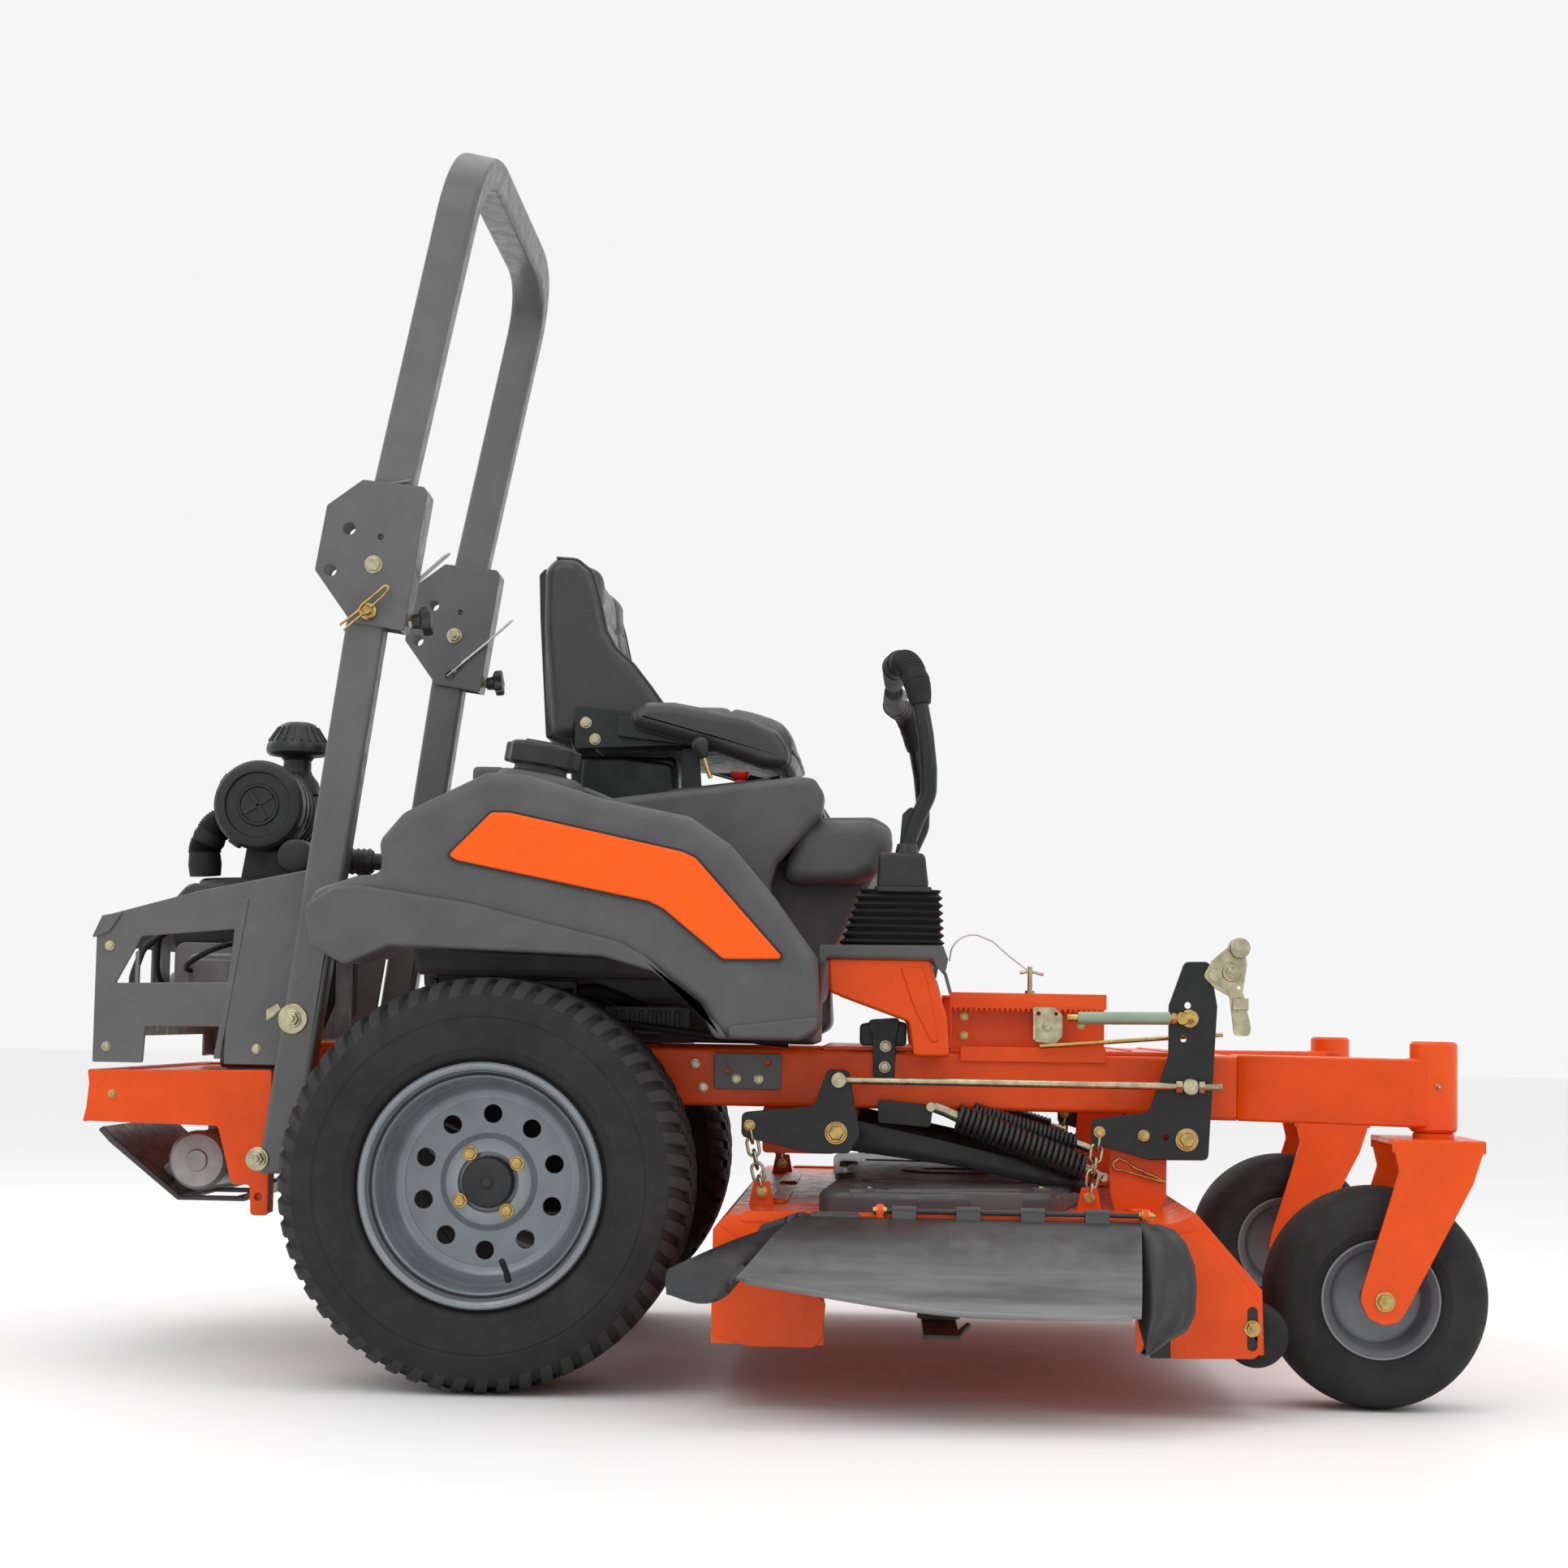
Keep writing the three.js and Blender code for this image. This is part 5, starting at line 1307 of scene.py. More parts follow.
def seat():
    """The padded cushion and back."""
    def cushion_place(u, v):
        x, y = 262 + 170 * u, 236 * v
        front = max(0.0, u - 0.2) / 0.8
        return Vector((x, y, 1002 - 30 * front ** 2 * 1.2)), Vector((0, 0, 1))

    def cushion_bulge(u, v):
        bolster = 12 * exp(-((abs(v) - 0.82) / 0.16) ** 2)
        dish = -8 * exp(-((u + 0.2) / 0.6) ** 2 - (v / 0.5) ** 2)
        return bolster + dish
    pillow("seat_cushion_padded", "seat", "seat_cushion", cushion_place, 62, 0.52, cushion_bulge,
        [(0.36, None, 6, 0.022), (-0.18, None, 5, 0.022), (None, 0.60, 7, 0.022)], corner=0.05)

    def back_place(u, v):
        # u runs up the back and v across it
        t = (u + 1) / 2
        z = 972 + 303 * t
        x = 74 - 30 * t + 16 * t * t
        taper = 1 - 0.10 * max(0.0, t - 0.55) ** 1.2 / 0.45
        return Vector((x, 235 * v * taper, z)), Vector((0.995, 0, 0.10))

    def back_bulge(u, v):
        lumbar = 14 * exp(-((u + 0.25) / 0.4) ** 2) * exp(-(v / 0.7) ** 2)
        bolster = 10 * exp(-((abs(v) - 0.80) / 0.18) ** 2)
        return lumbar + bolster - 8 * max(0.0, u)
    pillow("seat_back_padded", "seat", "seat_back", back_place, 92, 0.45, back_bulge,
        [(0.48, None, 6, 0.022), (0.02, None, 5, 0.022), (None, 0.58, 7, 0.022)], corner=0.10)


def seat_wings():
    """The side bolsters of the seat back."""
    for name, s in SIDES:
        wing = Solid()
        side_line = [(24, 1256), (42, 1275), (75, 1273), (100, 1253), (113, 1210), (125, 1158), (141, 1130),
            (169, 1105), (197, 1070), (222, 1036), (212, 1016), (92, 1004), (86, 984), (42, 984),
            (35, 1057), (25, 1160)]
        wing.plate("y", side_line, s * 190, s * 240, radius=26, edge=19, steps=8, corner_steps=8)
        made = wing.done("seat_wing_" + name, VINYL, "seat", angle=80)
        piping = Solid()
        piping.tube([(x, s * 226, z) for x, z in side_line[1:10]], 2.6, 20, sides=10)
        piping.done("seat_wing_piping_" + name, VINYL, "seat", angle=80)


def seat_base():
    """The steel pan under the seat and the shell behind it."""
    base = Solid()
    base.slab("z", (72, 476), (-238, 238), 874, 882, radius=12, edge=1.5)
    base.plate("y", [(70, 880), (66, 962), (238, 962), (242, 905), (230, 880)], -182, 182, radius=12,
        edge=8, steps=4)
    for s in (RIGHT, LEFT):
        base.plate("y", [(84, 884), (88, 958), (150, 960), (232, 950), (240, 905), (226, 884)], s * 182,
            s * 200, radius=10, edge=6, steps=3)
        base.box((96, 420), (s * 150, s * 176), (882, 900))
        base.tube([(250, s * 150, 908), (330, s * 150, 912), (404, s * 150, 930)], 8, 20, sides=14)
    base.plate("y", [(250, 884), (250, 972), (276, 972), (284, 884)], -236, -218, radius=5, edge=2)
    base.fine("seat_base", BLACK_STEEL, "seat", angle=38)
    shell = Solid()
    shell.plate("y", [(30, 984), (16, 1180), (13, 1250), (24, 1262), (30, 1250), (34, 1180), (50, 992)],
        -214, 214, radius=6, edge=4, steps=3)
    shell.done("seat_shell", BLACK_PLASTIC, "seat", angle=40)


def armrests():
    """The padded armrests on their brackets."""
    for name, s in SIDES:
        pad_line = [(177, 999), (172, 1020), (196, 1036), (240, 1036), (355, 1016), (404, 994), (424, 964),
            (424, 944), (410, 936), (382, 938), (300, 966)]
        pad = Solid()
        pad.plate("y", pad_line, s * 263, s * 321, radius=22, edge=19, steps=8, corner_steps=8)
        made = pad.done("armrest_pad_" + name, VINYL, "arm_rest_" + name, "armrest_" + name, angle=80)
        seam = Solid()
        loop = [Vector((x, s * 292, z)) for x, z in shrunk([Vector(p) for p in pad_line][::-1], -0.4)]
        seam.tube(loop, 1.8, 16, sides=8, closed=True)
        seam.done("armrest_seam_" + name, VINYL, "arm_rest_" + name, angle=80)
        arm = Solid()
        arm.plate("y", [(82, 965), (81, 1036), (176, 1026), (300, 1002), (310, 976), (254, 974)], s * 247,
            s * 263.5, radius=8, edge=2)
        arm.plate("y", [(150, 985), (150, 1018), (300, 996), (310, 972), (254, 974)], s * 262, s * 282,
            radius=8, edge=2)
        arm.done("armrest_bracket_" + name, BLACK_STEEL, "arm_rest_" + name, angle=40)
        bolt_row("armrest_bolts_" + name, "arm_rest_" + name, [(99, s * 263.5, 1007),
            (114, s * 263.5, 981)], (0, s, 0), 8, ZINC)


# ---------- levers, bars and small controls ----------

def controls(name, s):
    """A steering lever: its bellows, hub, bar and grip."""
    y = s * LEVER_Y
    boot, levels, folds, ring = Solid(), [], 9, 48
    for k in range(folds * 4 + 1):
        t = k / (folds * 4)
        z = 642.6 + 102 * t
        back, front = 498 + 38 * t ** 0.9, 668 - 6 * t
        swell = 3.4 * cos(2 * pi * folds * t) * (0.4 if k in (0, folds * 4) else 1)
        half_x, half_y = (front - back) / 2 + swell - 3, 42 - 4 * t + swell - 3
        loop = []
        for a in around(ring):
            c, d = cos(a), sin(a)
            q = (abs(c) ** 5 + abs(d) ** 5) ** (-1 / 5)
            loop.append(Vector(((back + front) / 2 + half_x * q * c, y + half_y * q * d, z)))
        levels.append(loop)
    points = [p for loop in levels for p in loop]
    faces = [tuple(range(ring)), tuple(range(len(points) - ring, len(points)))]
    for k in range(len(levels) - 1):
        for i in range(ring):
            a, b = k * ring + i, k * ring + (i + 1) % ring
            faces.append((a, b, b + ring, a + ring))
    boot.add(points, faces)
    made = boot.done("lever_bellows_" + name, FOAM, None, "lever_boot_" + name, angle=60, weighted=False)
    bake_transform(made)

    hub = Solid()
    hub.plate("y", [(563, 744), (565, 800), (635, 800), (642, 744)], y - 37, y + 37, radius=10, edge=7,
        steps=4)
    hub.slab("z", (560, 646), (y - 40, y + 40), 741, 749, radius=12, edge=2)
    hub.turned([(0, 796), (19, 796), (17, 806), (15, 815), (0, 815)], (608, y, 0), "z", 32)
    hub.fine("lever_hub_" + name, BLACK_PLASTIC, "lever_" + name, angle=42)
    bolt_row("lever_pivot_bolts_" + name, "lever_" + name, [(600, s * (LEVER_Y - 37), 776)], (0, -s, 0), 7)

    bar = Solid()
    bar.tube([(608, y, 806), (611, y, 822), (622, y, 852), (640, y, 892), (640, y - s, 930),
        (634, y - s * 6, 984), (624, y - s * 12, 1036), (618, y - s * 16, 1056)], 12.2, 45, sides=24,
        steps=7)
    bar.tube([(600, s * 128, 1100), (590, s * 90, 1100)], 10, sides=16)
    bar.plate("y", [(596, 806), (600, 860), (612, 872), (626, 866), (622, 806)], y - 6, y + 6, radius=8,
        edge=2)
    bar.fine("lap_bar_" + name, BLACK_STEEL, "bar_" + name, angle=60)
    grip = Solid()
    line = [(626, y - s * 10, 1030), (620, y - s * 15, 1062), (606, y - s * 30, 1096),
        (592, y - s * 74, 1100), (586, y - s * 120, 1100), (584, s * 62, 1100)]
    dense = halved(softened(line, 42, 9, False))
    radii = []
    for i in range(len(dense)):
        end = min(i, len(dense) - 1 - i)
        radii.append([15.5, 18.6, 19.8][end] if end < 3 else 20.2)
    grip.tube(dense, radii, sides=32)
    grip.done("lap_bar_grip_" + name, FOAM, "bar_" + name, angle=60)
    ribs = Solid()
    for i in range(14, len(dense) - 6, 2):
        p, q = dense[i], dense[i + 1]
        ribs.tube([p, p + (q - p).normalized() * 2.2], 20.9, sides=32)
    ribs.done("lap_bar_grip_ribs_" + name, FOAM, "bar_" + name, angle=60)


def small_controls():
    """The throttle and the blade switch."""
    lever = Solid()
    lever.tube([(303, -345, 916), (297, -345, 932), (290, -345, 954)], 3.6, sides=14)
    lever.done("throttle_stalk", GOLD_ZINC, "throttle", angle=60)
    knob = Solid()
    tilt = turned_at((287, -345, 962), -0.26, "Y")
    knob.turned([(0, -16), (6, -16), (9, -12), (12, -4), (14, 4), (13, 11), (9, 15.5), (4, 17), (0, 17.3)],
        axis="z", segments=36, matrix=tilt)
    knob.fine("throttle_lever", BLACK_PLASTIC, "throttle", angle=60)
    pull = Solid()
    pull.turned([(0, 911), (8, 911), (8, 917), (10, 918), (13, 921), (15.5, 926), (16, 928.4),
        (14.5, 929.8), (0, 930)], (346, -300, 0), "z", 40)
    pull.fine("pto_knob", RED_PLASTIC, "pto_switch", angle=40)


# ---------- cutting deck ----------

def strip_sheet(solid, rows, thick):
    """A grid of points given thickness below it, closed round its edges."""
    n, m = len(rows), len(rows[0])
    points, faces = [], []
    for i in range(n):
        for j in range(m):
            a = rows[min(i + 1, n - 1)][j] - rows[max(i - 1, 0)][j]
            b = rows[i][min(j + 1, m - 1)] - rows[i][max(j - 1, 0)]
            up = a.cross(b).normalized()
            if up.y > 0 or (up.y > -0.01 and up.z < 0):
                up = -up
            points += [rows[i][j], rows[i][j] - up * thick]

    def corner(i, j, k):
        return 2 * (i * m + j) + k
    for i in range(n - 1):
        for j in range(m - 1):
            square = [(i, j), (i + 1, j), (i + 1, j + 1), (i, j + 1)]
            faces.append(tuple(corner(a, b, 0) for a, b in square))
            faces.append(tuple(corner(a, b, 1) for a, b in (square[0], *square[:0:-1])))
    rim = [(i, 0) for i in range(n)] + [(n - 1, j) for j in range(1, m)]
    rim += [(i, m - 1) for i in range(n - 2, -1, -1)] + [(0, j) for j in range(m - 2, 0, -1)]
    for (i, j), (k, q) in zip(rim, rim[1:] + rim[:1]):
        faces.append((corner(i, j, 0), corner(k, q, 0), corner(k, q, 1), corner(i, j, 1)))
    solid.add(points, faces)


SPINDLES = (("right", 665, -452), ("centre", 790, 0), ("left", 665, 452))
SCALP_X, SCALP_Y, SCALP_Z = 1107, 668, 116
HINGE_Y, HINGE_Z = -708, 281


def cutting_deck():
    """The deck shell with its folded edges, inserts and ribs."""
    refined("deck_shell", ORANGE, "deck", "orange_paint", 1.6)
    trim = Solid()
    # the right edge: a folded strip over the chute, with its hinge lugs, and the wide end plate
    trim.plate("y", [(378, 262), (384, 276), (700, 277), (955, 275), (962, 262)], -703, -698.5, radius=5,
        edge=1)
    for x in (576, 948):
        trim.plate("x", [(-716, 264), (-717, 282), (-708, 291), (-697, 288), (-690, 264)], x - 5, x + 5,
            radius=5, edge=1.2)
        trim.plate("z", circle(x, -705, 8), 270, 287, edge=2)
    trim.plate("y", [(994, 256), (1022, 262), (1051, 237), (1104, 168), (1112, 150), (1112, 96), (1100, 86),
        (984, 84), (984, 110), (994, 130)], -706, -700, [slotted(1098, 104, 1098, 151, 7)], radius=7,
        edge=1.4)
    trim.plate("y", [(343, 262), (341, 166), (343, 104), (394, 88), (486, 88), (498, 104), (502, 152),
        (420, 200)], -705, -700, radius=8, edge=1.4)
    # the closed left side
    trim.plate("y", [(346, 96), (346, 262), (985, 264), (1020, 270), (1050, 238), (1104, 168), (1110, 96)],
        697, 702, radius=9, edge=1.5)
    trim.slab("y", (346, 1108), (92, 112), 698, 706, radius=4, edge=2)
    dark = Solid()
    dark.slab("y", (1087, 1109), (98, 157), -702, -700.2, edge=0.4)
    dark.slab("y", (956, 986), (84, 112), -703, -694, radius=3, edge=1.5)
    dark.done("deck_dark_inserts", BLACK_PLASTIC, "deck")
    # stiffening ribs pressed into the deck top and its baffle welds
    for x, y0, y1 in ((420, -380, -120), (420, 120, 380), (960, -420, -200), (960, 200, 420)):
        trim.plate("z", slotted(x, y0, x, y1, 15), 266, 275, edge=4.5, steps=4)
    for y in (-650, 650):
        trim.plate("z", slotted(420, y, 900, y, 10), 268, 274, edge=3.5, steps=3)
    trim.done("deck_trim", ORANGE, "deck", angle=40)


def deck_fasteners():
    """The bolts and pins of the deck shell."""
    fasteners = Solid()
    for x in (518, 705, 894):
        fasteners.turned([(0, 0), (7.5, 0), (7, 2.4), (4, 3.6), (0, 4)], segments=24,
            matrix= turned_at((x, -703, 267), pi, "Z"))
    for x in (576, 948):
        fasteners.bolt((x - 5, HINGE_Y, HINGE_Z), (-1, 0, 0), 6.5)
        fasteners.bolt((x + 5, HINGE_Y, HINGE_Z), (1, 0, 0), 6.5, nut=True)
    fasteners.bolt((1098, -706, 128), (0, -1, 0), 10, nut=True)
    for s in (RIGHT, LEFT):
        fasteners.rod((SCALP_X, s * 636, SCALP_Z), (SCALP_X, s * 702, SCALP_Z), 6)
    for _, x, y in SPINDLES:
        for i in range(6):
            a = radians(30 + 60 * i)
            place = (x + 72 * cos(a), y + 72 * sin(a), 262)
            fasteners.bolt(place, (0, 0, -1), 6)
    for tab_x in (887, 398):
        for s in (RIGHT, LEFT):
            fasteners.bolt((tab_x, s * 444.2, 288), (0, s, 0), 8)
            fasteners.bolt((tab_x, s * 435.8, 288), (0, -s, 0), 8, nut=True)
    fasteners.done("deck_fasteners", GOLD_ZINC, "deck", bevel=0.35)


def anti_scalp_wheels():
    """The small wheels at the front corners of the deck."""
    profile = [(7, -25), (14, -25), (16, -22), (36, -22), (42, -18), (45, -12), (45.5, 0), (45, 12),
        (42, 18), (36, 22), (16, 22), (14, 25), (7, 25)]
    for name, s in SIDES:
        wheel = Solid()
        wheel.turned(profile, (SCALP_X, s * SCALP_Y, SCALP_Z), segments=56)
        wheel.fine("anti_scalp_wheel_" + name, FOAM, "anti_scalp_" + name, angle=40)


def belt_cover():
    """The moulded cover over the belts, and its screws."""
    cover = Solid()
    outline = [(485, -600), (640, -640), (830, -560), (900, -180), (910, 180), (830, 560), (640, 640),
        (485, 600), (520, 0)]
    cover.plate("z", outline, 270.4, 301.8, radius=46, edge=(1, 11), steps=5, corner_steps=9)
    for s in (RIGHT, LEFT):
        cover.plate("z", slotted(600, s * 560, 770, s * 500, 20), 296, 304.5, edge=4, steps=3)
        cover.plate("z", slotted(560, s * 330, 820, s * 300, 14), 298, 304.5, edge=4, steps=3)
        for x, y in ((560, s * 596), (812, s * 500), (880, s * 150), (520, s * 200)):
            cover.turned([(16, 296), (16, 304), (13, 305.5), (11, 303), (0, 303), (0, 296)], (x, y, 0), "z",
                28)
        cover.plate("x", [(s * 604, 272), (s * 604, 300), (s * 608, 304), (s * 612, 300), (s * 612, 272)],
            532, 780, edge=0.8)
    cover.plate("z", circle(700, 0, 92, 48), 298, 305, [circle(700, 0, 60, 40)], edge=3, steps=3)
    for a in around(12):
        cover.box((60, 92), (-2, 2), (298, 304.5), turned_at((700, 0, 0), a, "Z"))
    cover.fine("belt_cover", COVER_GREY, "deck", angle=44)
    clasps = Solid()
    for s in (RIGHT, LEFT):
        clasps.bolt((560, s * 596, 303), (0, 0, 1), 6)
        clasps.bolt((812, s * 500, 303), (0, 0, 1), 6)
    clasps.done("belt_cover_screws", ZINC, "deck", bevel=0.3)


def blades():
    """The three blades with their spindles."""
    for name, x, y in SPINDLES:
        blade = Solid()
        for t in (-1, 1):
            turn = turned_at((x, y, 0), 0 if t > 0 else pi, "Z")
            blade.plate("z", [(-26, -2), (26, -2), (26, 150), (26, 222), (20, 224), (-26, 224)], 101, 107,
                radius=3, edge=(0.6, 1.8), matrix=turn)
            # the lift wing turned up at the trailing side of each tip
            blade.add([turn @ Vector(p) for p in [(-26, 140, 101.5), (-26, 222, 101.5), (-26, 222, 106),
                (-26, 140, 106), (-40, 152, 114), (-42, 222, 120), (-41, 222, 124), (-38, 152, 118)]],
                [(0, 1, 5, 4), (3, 7, 6, 2), (1, 2, 6, 5), (0, 4, 7, 3), (4, 5, 6, 7), (0, 3, 2, 1)])
        blade.turned([(0, 98), (15, 98), (16, 100), (16, 108), (32, 108), (32, 120), (26, 124), (12, 126),
            (12, 282), (28, 282), (57, 283), (57, 285), (48, 288), (57, 293), (57, 295), (0, 295)],
            (x, y, 0), "z", 48)
        blade.turned([(0, 92), (12, 92), (13, 93), (13, 99), (0, 99)], (x, y, 0), "z", 6)
        blade.fine("blade_" + name, DARK_STEEL, "blade_spindle_" + name, angle=36)


def discharge_chute():
    """The moulded chute: a curved flap, curled down in front, with a tongue at the rear."""
    columns = 44
    profile = [(-710, 272), (-718, 271.5), (-734, 268), (-754, 261), (-779, 250), (-805, 236), (-831, 218),
        (-855, 198), (-875, 178), (-890, 158)]
    rows = []
    for k, (y, z) in enumerate(profile):
        down = k / (len(profile) - 1)
        row = []
        for i in range(columns + 1):
            t = i / columns
            back = 482 - 98 * down ** 1.1
            x = back + (944 - 16 * down - back) * t
            sag = 42 * down ** 1.6 * (1 - t) ** 2.2
            dent = 4 * down * sin(pi * t) + 1.5 * sin(9 * t + 3 * down) * down
            row.append(Vector((x, y, z + sag - dent)))
        rows.append(row)
    flap = Solid()
    strip_sheet(flap, rows, 6)
    outer = [(947, -716, 270), (962, -730, 272), (984, -752, 266), (998, -776, 250), (1006, -800, 226),
        (1008, -820, 196), (1004, -842, 162), (992, -858, 142), (968, -872, 131), (948, -882, 116),
        (933, -888, 107)]
    curl = []
    for k, edge_point in enumerate(outer):
        v = k / (len(outer) - 1)
        crease = Vector((934 - 12 * sin(pi * v), -712 - 176 * v, 266 - 132 * v - 22 * v * v))
        row = []
        for i in range(13):
            w = i / 12
            p = crease.lerp(Vector(edge_point), w)
            swell = sin(pi * min(1, w * 1.15) ** 0.8)
            p.y -= 30 * swell * sin(pi * (0.12 + 0.8 * v))
            p.z += 5 * swell * (1 - v)
            row.append(p)
        curl.append(row)
    lobes = Solid()
    strip_sheet(lobes, curl, 7)
    tongue = []
    for k, rear_edge in enumerate(row[0] for row in rows):
        v = k / (len(rows) - 1)
        tip = Vector((291 - 3 * sin(pi * v), -862 - 20 * v, 207 - 29 * v))
        across = []
        for i in range(15):
            w = i / 14
            p = rear_edge.lerp(tip, w)
            p.z += 7 * sin(pi * w) * (1 - v) - 24 * sin(pi * w ** 0.8) * v * v
            p.y -= 8 * sin(pi * w) * sin(pi * v)
            across.append(p)
        tongue.append(across)
    strip_sheet(lobes, tongue, 7)
    lobes.done("discharge_chute_lobes", BLACK_PLASTIC, "chute", angle=55)
    flap.tube([p + Vector((0, -1, -2)) for p in rows[-1][1::3]], 4.6, sides=12)
    for x in (610, 700, 790, 880):
        flap.turned([(4.7, x - 17), (8, x - 17), (8, x + 17), (4.7, x + 17)], (0, HINGE_Y, HINGE_Z), "x",
            20)
        flap.plate("x", [(-709, 287.6), (-714, 285.6), (-722, 268), (-712, 268)], x - 17, x + 17, edge=0.8)
    flap.fine("discharge_chute", CHUTE_RUBBER, "chute", angle=55)
    pin = Solid()
    pin.rod((568, HINGE_Y, HINGE_Z), (956, HINGE_Y, HINGE_Z), 4)
    pin.done("chute_hinge_pin", BLACK_STEEL, "deck", angle=40)


# ---------- deck lift ----------

def link(solid, a, b, turn, radius=8.5, wire=2.5):
    """One oval chain link between two points."""
    along = b - a
    length = along.length
    stance = facing((a + b) / 2, along) @ Matrix.Rotation(turn, 4, "Z")
    straight = length / 2 - radius + wire + 2
    loop = []
    for t in around(24):
        z = radius * sin(t) + copysign(max(0, straight), sin(t))
        loop.append(Vector((radius * cos(t), 0, z)))
    solid.tube(loop, wire, sides=10, closed=True, matrix=stance)


def coil(solid, a, b, radius, wire, turns):
    """A wire spring from a to b."""
    a, b = Vector(a), Vector(b)
    along = b - a
    stance = facing(a, along)
    steps = int(turns * 16)
    line = [Vector((radius * cos(2 * pi * turns * i / steps), radius * sin(2 * pi * turns * i / steps),
        along.length * i / steps)) for i in range(steps + 1)]
    solid.tube(line, wire, sides=9, matrix=stance)


def lift_cranks():
    """The front and rear cranks of the deck lift, with their pins."""
    tip = LIFT_ARM + 12

    def at_crank(x, points):
        return [(x + dx, LIFT_Z + dz) for dx, dz in points]
    front_arm = [(44, 199), (32, 266), (-5, 265), (-28, 200), (-28, 125), (-57, 40), (-tip, 28), (-tip, -8),
        (-56, -31), (32, -30)]
    short_arm = [(20, 24), (-20, 40), (-tip, 28), (-tip, -8), (-56, -31), (28, -30)]
    rear_arm = [(36, -4), (18, 95), (-14, 95), (-34, 40), (-tip, 28), (-tip, -8), (-36, -31), (20, -30)]
    pin_holes = [circle(LIFT_FRONT_X - 32, LIFT_Z + 3, 4.5), circle(LIFT_FRONT_X, LIFT_Z + 200, 5),
        circle(LIFT_FRONT_X - 6, LIFT_Z + 150, 5)]
    front, rear = Solid(), Solid()
    front.plate("y", at_crank(LIFT_FRONT_X, front_arm), -LIFT_FAR, -LIFT_NEAR, pin_holes, radius=10,
        edge=1.3)
    front.plate("y", at_crank(LIFT_FRONT_X, short_arm), LIFT_NEAR, LIFT_FAR, radius=10, edge=1.3)
    rear.plate("y", at_crank(LIFT_REAR_X, rear_arm), -LIFT_FAR, -LIFT_NEAR, radius=10, edge=1.3)
    rear.plate("y", at_crank(LIFT_REAR_X, short_arm), LIFT_NEAR, LIFT_FAR, radius=10, edge=1.3)
    for solid, x in ((front, LIFT_FRONT_X), (rear, LIFT_REAR_X)):
        solid.rod((x, -LIFT_NEAR - 3, LIFT_Z), (x, LIFT_NEAR + 3, LIFT_Z), 12, 28)
        for s in (RIGHT, LEFT):
            solid.turned([(12, s * (LIFT_NEAR - 14)), (17, s * (LIFT_NEAR - 12)), (20, s * LIFT_NEAR),
                (12, s * LIFT_NEAR)], (x, 0, LIFT_Z), segments=32)
    front.fine("front_lift_crank", BLACK_STEEL, "front_lift", angle=38)
    rear.fine("rear_lift_crank", BLACK_STEEL, "rear_lift", angle=38)
    for body, x in (("front_lift", LIFT_FRONT_X), ("rear_lift", LIFT_REAR_X)):
        pins = Solid()
        for s in (RIGHT, LEFT):
            pins.disc(17, (s * LIFT_FAR, s * (LIFT_FAR + 2)), (x, 0, LIFT_Z), segments=32)
            pins.bolt((x, s * (LIFT_FAR + 1.8), LIFT_Z), (0, s, 0), 12.5)
            pins.bolt((x - LIFT_ARM, s * LIFT_FAR, LIFT_Z + 9), (0, s, 0), 7.5)
            pins.bolt((x - LIFT_ARM, s * LIFT_NEAR, LIFT_Z + 9), (0, -s, 0), 7.5)
        if body == "front_lift":
            pins.bolt((x - 64, -LIFT_FAR, LIFT_Z + 5), (0, -1, 0), 7.5)
        pins.done(body + "_pins", GOLD_ZINC, body, bevel=0.4)


def deck_chains():
    """The deck hangs from the tips of the crank arms on chains."""
    chain = Solid()
    for x in (LIFT_FRONT_X - LIFT_ARM, LIFT_REAR_X - LIFT_ARM):
        for s in (RIGHT, LEFT):
            low = Vector((x - (14 if x > 700 else -20), s * 440, 288))
            high = Vector((x, s * 440, LIFT_Z + 6))
            links = 5
            for k in range(links):
                a, b = low.lerp(high, k / links), low.lerp(high, (k + 1) / links)
                link(chain, a, b, pi / 2 * (k % 2) + 0.15)
    chain.done("deck_chains", ZINC, "deck", angle=80, weighted=False)


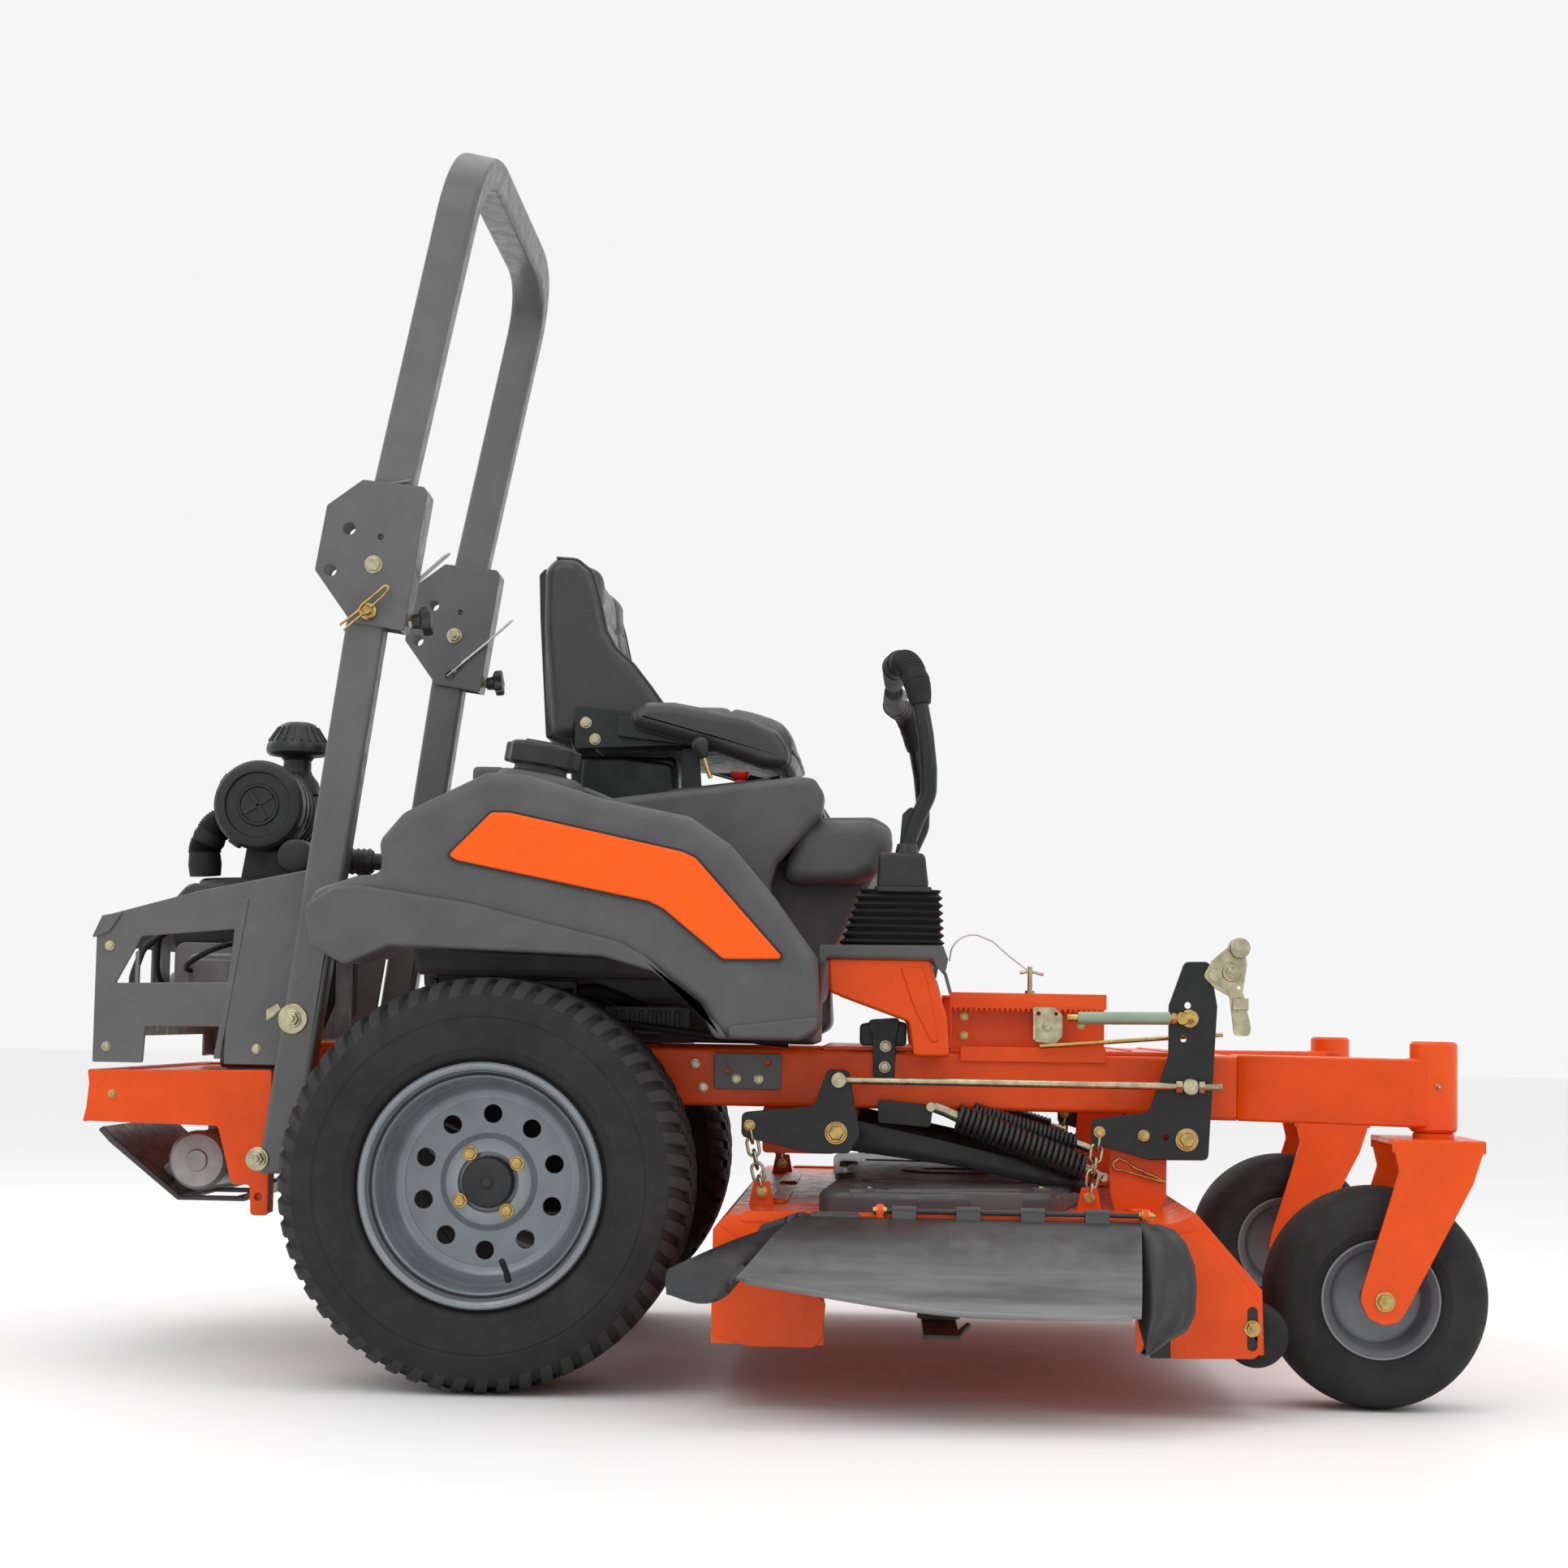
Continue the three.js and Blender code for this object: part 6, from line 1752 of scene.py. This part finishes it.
def tie_rod_and_pedal():
    """The rod that ties the cranks together, and the lift pedal."""
    rod_z = LIFT_Z + 79
    tie = Solid()
    for x in (LIFT_FRONT_X + 3, LIFT_REAR_X + 3):
        tie.turned([(0, -LIFT_FAR - 0.4), (11, -LIFT_FAR - 0.6), (12.5, -LIFT_FAR - 2),
            (12.5, -LIFT_FAR - 20), (11, -LIFT_FAR - 22), (0, -LIFT_FAR - 22)], (x, 0, rod_z), segments=28)
    tie.rod((LIFT_REAR_X + 3, -LIFT_FAR - 14, rod_z), (LIFT_FRONT_X + 50, -LIFT_FAR - 14, rod_z), 5.4)
    for x0, x1 in ((LIFT_FRONT_X + 16, LIFT_FRONT_X + 24), (LIFT_FRONT_X - 18, LIFT_FRONT_X - 9)):
        tie.disc(9.5, (x0, x1), (0, -LIFT_FAR - 14, rod_z), "x", 6)
    for k in range(9):
        x = LIFT_FRONT_X + 26 + 2.6 * k
        tie.turned([(5.2, x), (6.1, x + 0.9), (5.2, x + 1.8)], (0, -LIFT_FAR - 14, rod_z), "x", 16)
    tie.fine("lift_tie_rod", ZINC, "tie_rod", angle=36)

    pedal = Solid()
    pedal.plate("y", [(1052, 622), (1066, 646), (1096, 672), (1112, 672), (1118, 640), (1112, 600),
        (1124, 548), (1123, 534), (1099, 534), (1092, 592), (1070, 604)], -LIFT_FAR - 8, -LIFT_FAR - 2,
        [circle(1083, 628, 3), circle(1100, 650, 3), circle(1106, 606, 2.6)], radius=8, edge=1.2)
    pedal.turned([(0, -LIFT_FAR - 1), (15, -LIFT_FAR - 3), (15.5, -LIFT_FAR - 5), (15.5, -LIFT_FAR - 33),
        (14, -LIFT_FAR - 35), (0, -LIFT_FAR - 35)], (1104, 0, 664), segments=36)
    pedal.turned([(0, -LIFT_FAR - 0.4), (9, -LIFT_FAR - 0.6), (9, -LIFT_FAR - 16), (0, -LIFT_FAR - 16)],
        (1070, 0, 624), segments=24)
    pedal.plate("y", [(1060, 618), (1086, 640), (1104, 664), (1114, 636), (1104, 612), (1090, 600)],
        -LIFT_FAR - 12, -LIFT_FAR - 7, radius=9, edge=1.2)
    pedal.turned([(0, -LIFT_FAR - 12), (13, -LIFT_FAR - 12), (14, -LIFT_FAR - 14), (13, -LIFT_FAR - 16),
        (0, -LIFT_FAR - 16)], (1094, 0, 628), segments=32)
    pedal.bolt((1094, -LIFT_FAR - 16, 628), (0, -1, 0), 8, nut=True)
    pedal.slab("x", (-LIFT_FAR - 20, -LIFT_FAR - 4), (572, 590), 1096, 1119, radius=3, edge=1)
    pedal.fine("lift_pedal", ZINC, "pedal", angle=38)


STOP_Y = 465


def height_stop():
    """The sleeved stop rod, its swivel on the crank, the latch bracket, rod and height pin."""
    sleeve = Solid()
    sleeve.rod((866, -STOP_Y, 556), (1003, -STOP_Y, 558), 9.5, 28)
    sleeve.done("height_stop_sleeve", GREEN_SLEEVE, "tie_rod", bevel=0.8)
    stop = Solid()
    stop.rod((850, -STOP_Y, 556), (1038, -STOP_Y, 558.5), 5.4, 20)
    for x0 in (1005, 1028):
        stop.disc(9, (x0, x0 + 7), (0, -STOP_Y, 558), "x", 6)
    stop.turned([(0, -471.5), (8.5, -471.5), (10, -469), (10, -460), (0, -460)], (1021, 0, 558),
        segments=28)
    stop.done("height_stop_rod", GOLD_ZINC, "tie_rod", bevel=0.5)
    swivel = Solid()
    swivel.turned([(0, -LIFT_FAR - 0.5), (13, -LIFT_FAR - 0.5), (14, -LIFT_FAR - 2), (14, -LIFT_FAR - 6.5),
        (12.5, -LIFT_FAR - 8), (0, -LIFT_FAR - 8)], (LIFT_FRONT_X + 2, 0, LIFT_Z + 180), segments=32)
    swivel.done("height_stop_swivel", GOLD_ZINC, "front_lift", bevel=0.6)
    latch = Solid()
    latch.plate("y", [(804, 520), (804, 572), (838, 572), (850, 560), (850, 528), (838, 514)], -352, -348.2,
        [circle(813, 562, 3), circle(840, 562, 3)], radius=5, edge=0.8)
    latch.slab("x", (-372, -349), (520, 566), 804, 808, radius=4, edge=0.8)
    latch.bolt((827, -352, 542), (0, -1, 0), 7)
    latch.done("height_latch_bracket", ZINC, "chassis", angle=38)
    thin = Solid()
    thin.tube([(815, -362, 512), (900, -364, 519), (1040, -366, 531), (1092, -368, 535)], 3.4, 40, sides=14)
    thin.done("height_latch_rod", GOLD_ZINC, "chassis", angle=60)
    pin = Solid()
    pin.rod((801, -318, 590), (801, -318, 634), 3.6, 16)
    pin.tube([(785, -318, 624), (801, -318, 627), (822, -318, 622)], 2.6, 6, sides=12)
    pin.disc(7.5, (592, 597), (801, -318, 0), "z", 20)
    pin.done("height_pin", ZINC, "chassis", angle=40)
    lanyard = Solid()
    lanyard.tube([(676, -350, 640), (679, -346, 660), (692, -340, 676), (713, -336, 683), (742, -330, 672),
        (770, -324, 648), (798, -319, 628)], 1.3, 30, sides=8)
    lanyard.done("height_pin_lanyard", BARE_STEEL, "chassis", angle=60)


def lift_assist():
    """A push arm and two springs on each side."""
    for name, s in SIDES:
        arm = Solid()
        arm.plate("y", [(452, 366), (456, 396), (500, 402), (700, 360), (880, 318), (896, 302), (880, 290),
            (690, 328), (500, 352)], s * 352, s * 360, radius=9, edge=1.3)
        made = arm.done("lift_push_arm_" + name, BLACK_STEEL, None, angle=38, weighted=False)
        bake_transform(made)
        tab = Solid()
        tab.plate("y", [(570, 392), (570, 428), (654, 420), (650, 386)], s * 366, s * 374, radius=6,
            edge=1.2)
        tab.box((574, 600), (s * 346, s * 368), (412, 422))
        tab.done("lift_spring_tab_" + name, BLACK_STEEL, "chassis", angle=38)
        hanger = Solid()
        hanger.plate("y", [(924, 402), (918, 330), (920, 290), (930, 264), (992, 264), (1004, 290),
            (1004, 402)], s * 411, s * 417, radius=8, edge=1.3)
        hanger.plate("y", [(936, 268), (936, 330), (946, 330), (956, 268)], s * 392, s * 412, radius=3,
            edge=1.2)
        hanger.done("lift_hanger_" + name, ORANGE, "deck", angle=38)
        spring = Solid()
        coil(spring, (690, s * SPRING_Y, 404), (884, s * SPRING_Y, 330), 17.5, 4.2, 23)
        coil(spring, (716, s * 360, 412), (872, s * 360, 366), 11, 3.2, 24)
        spring_ends = Solid()
        spring_ends.tube([(655, s * SPRING_Y, 418), (672, s * SPRING_Y, 412), (692, s * SPRING_Y, 403)],
            8.5, 4, sides=18)
        spring_ends.tube([(880, s * SPRING_Y, 332), (902, s * SPRING_Y, 322), (914, s * 396, 317)], 8, 6,
            sides=18)
        spring_ends.rod((650, s * 340, 418), (650, s * 396, 418), 7, 18)
        spring_ends.rod((912, s * 376, 318), (912, s * 400, 318), 7, 18)
        spring_ends.tube([(868, s * 360, 368), (896, s * 366, 358)], 7, sides=16)
        for piece, solid, finish in (("springs", spring, BLACK_STEEL), ("spring_ends", spring_ends, ZINC)):
            made = solid.done("lift_" + piece + "_" + name, finish, None, angle=60, weighted=False)
            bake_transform(made)
    clip = Solid()
    clip.tube([(932, -424, 348), (922, -424, 340), (926, -424, 331), (938, -424, 330), (990, -424, 316),
        (1004, -424, 313), (990, -424, 320), (958, -424, 333), (942, -424, 344), (932, -424, 348)], 2, 5,
        sides=8)
    clip.done("spring_hairpin", GOLD_ZINC, "front_lift", angle=60)


# ---------- everything together ----------
camera()
studio()
for name, s in SIDES:
    drive_wheel(name, s)
    caster(name, s)
for name, s in SIDES:
    frame_side(name, s)
floor_frame()
rear_frame()
roll_hoop()
roll_posts()
engine()
engine_fittings()
air_cleaner()
exhaust_and_guards()
for name, s in SIDES:
    fuel_tank(name, s)
seat_pod()
seat()
seat_wings()
seat_base()
armrests()
for name, s in SIDES:
    controls(name, s)
small_controls()
cutting_deck()
deck_fasteners()
anti_scalp_wheels()
belt_cover()
blades()
discharge_chute()
lift_cranks()
deck_chains()
tie_rod_and_pedal()
height_stop()
lift_assist()

# the CAD nodes that stay visible take the finish of their own slot
for part in frame["record"]["subparts"]:
    node = frame["nodes"][part["node"]]
    if not node.hide_render:
        node.data.materials.clear()
        node.data.materials.append(FINISHES[part["material_slot"]][0])
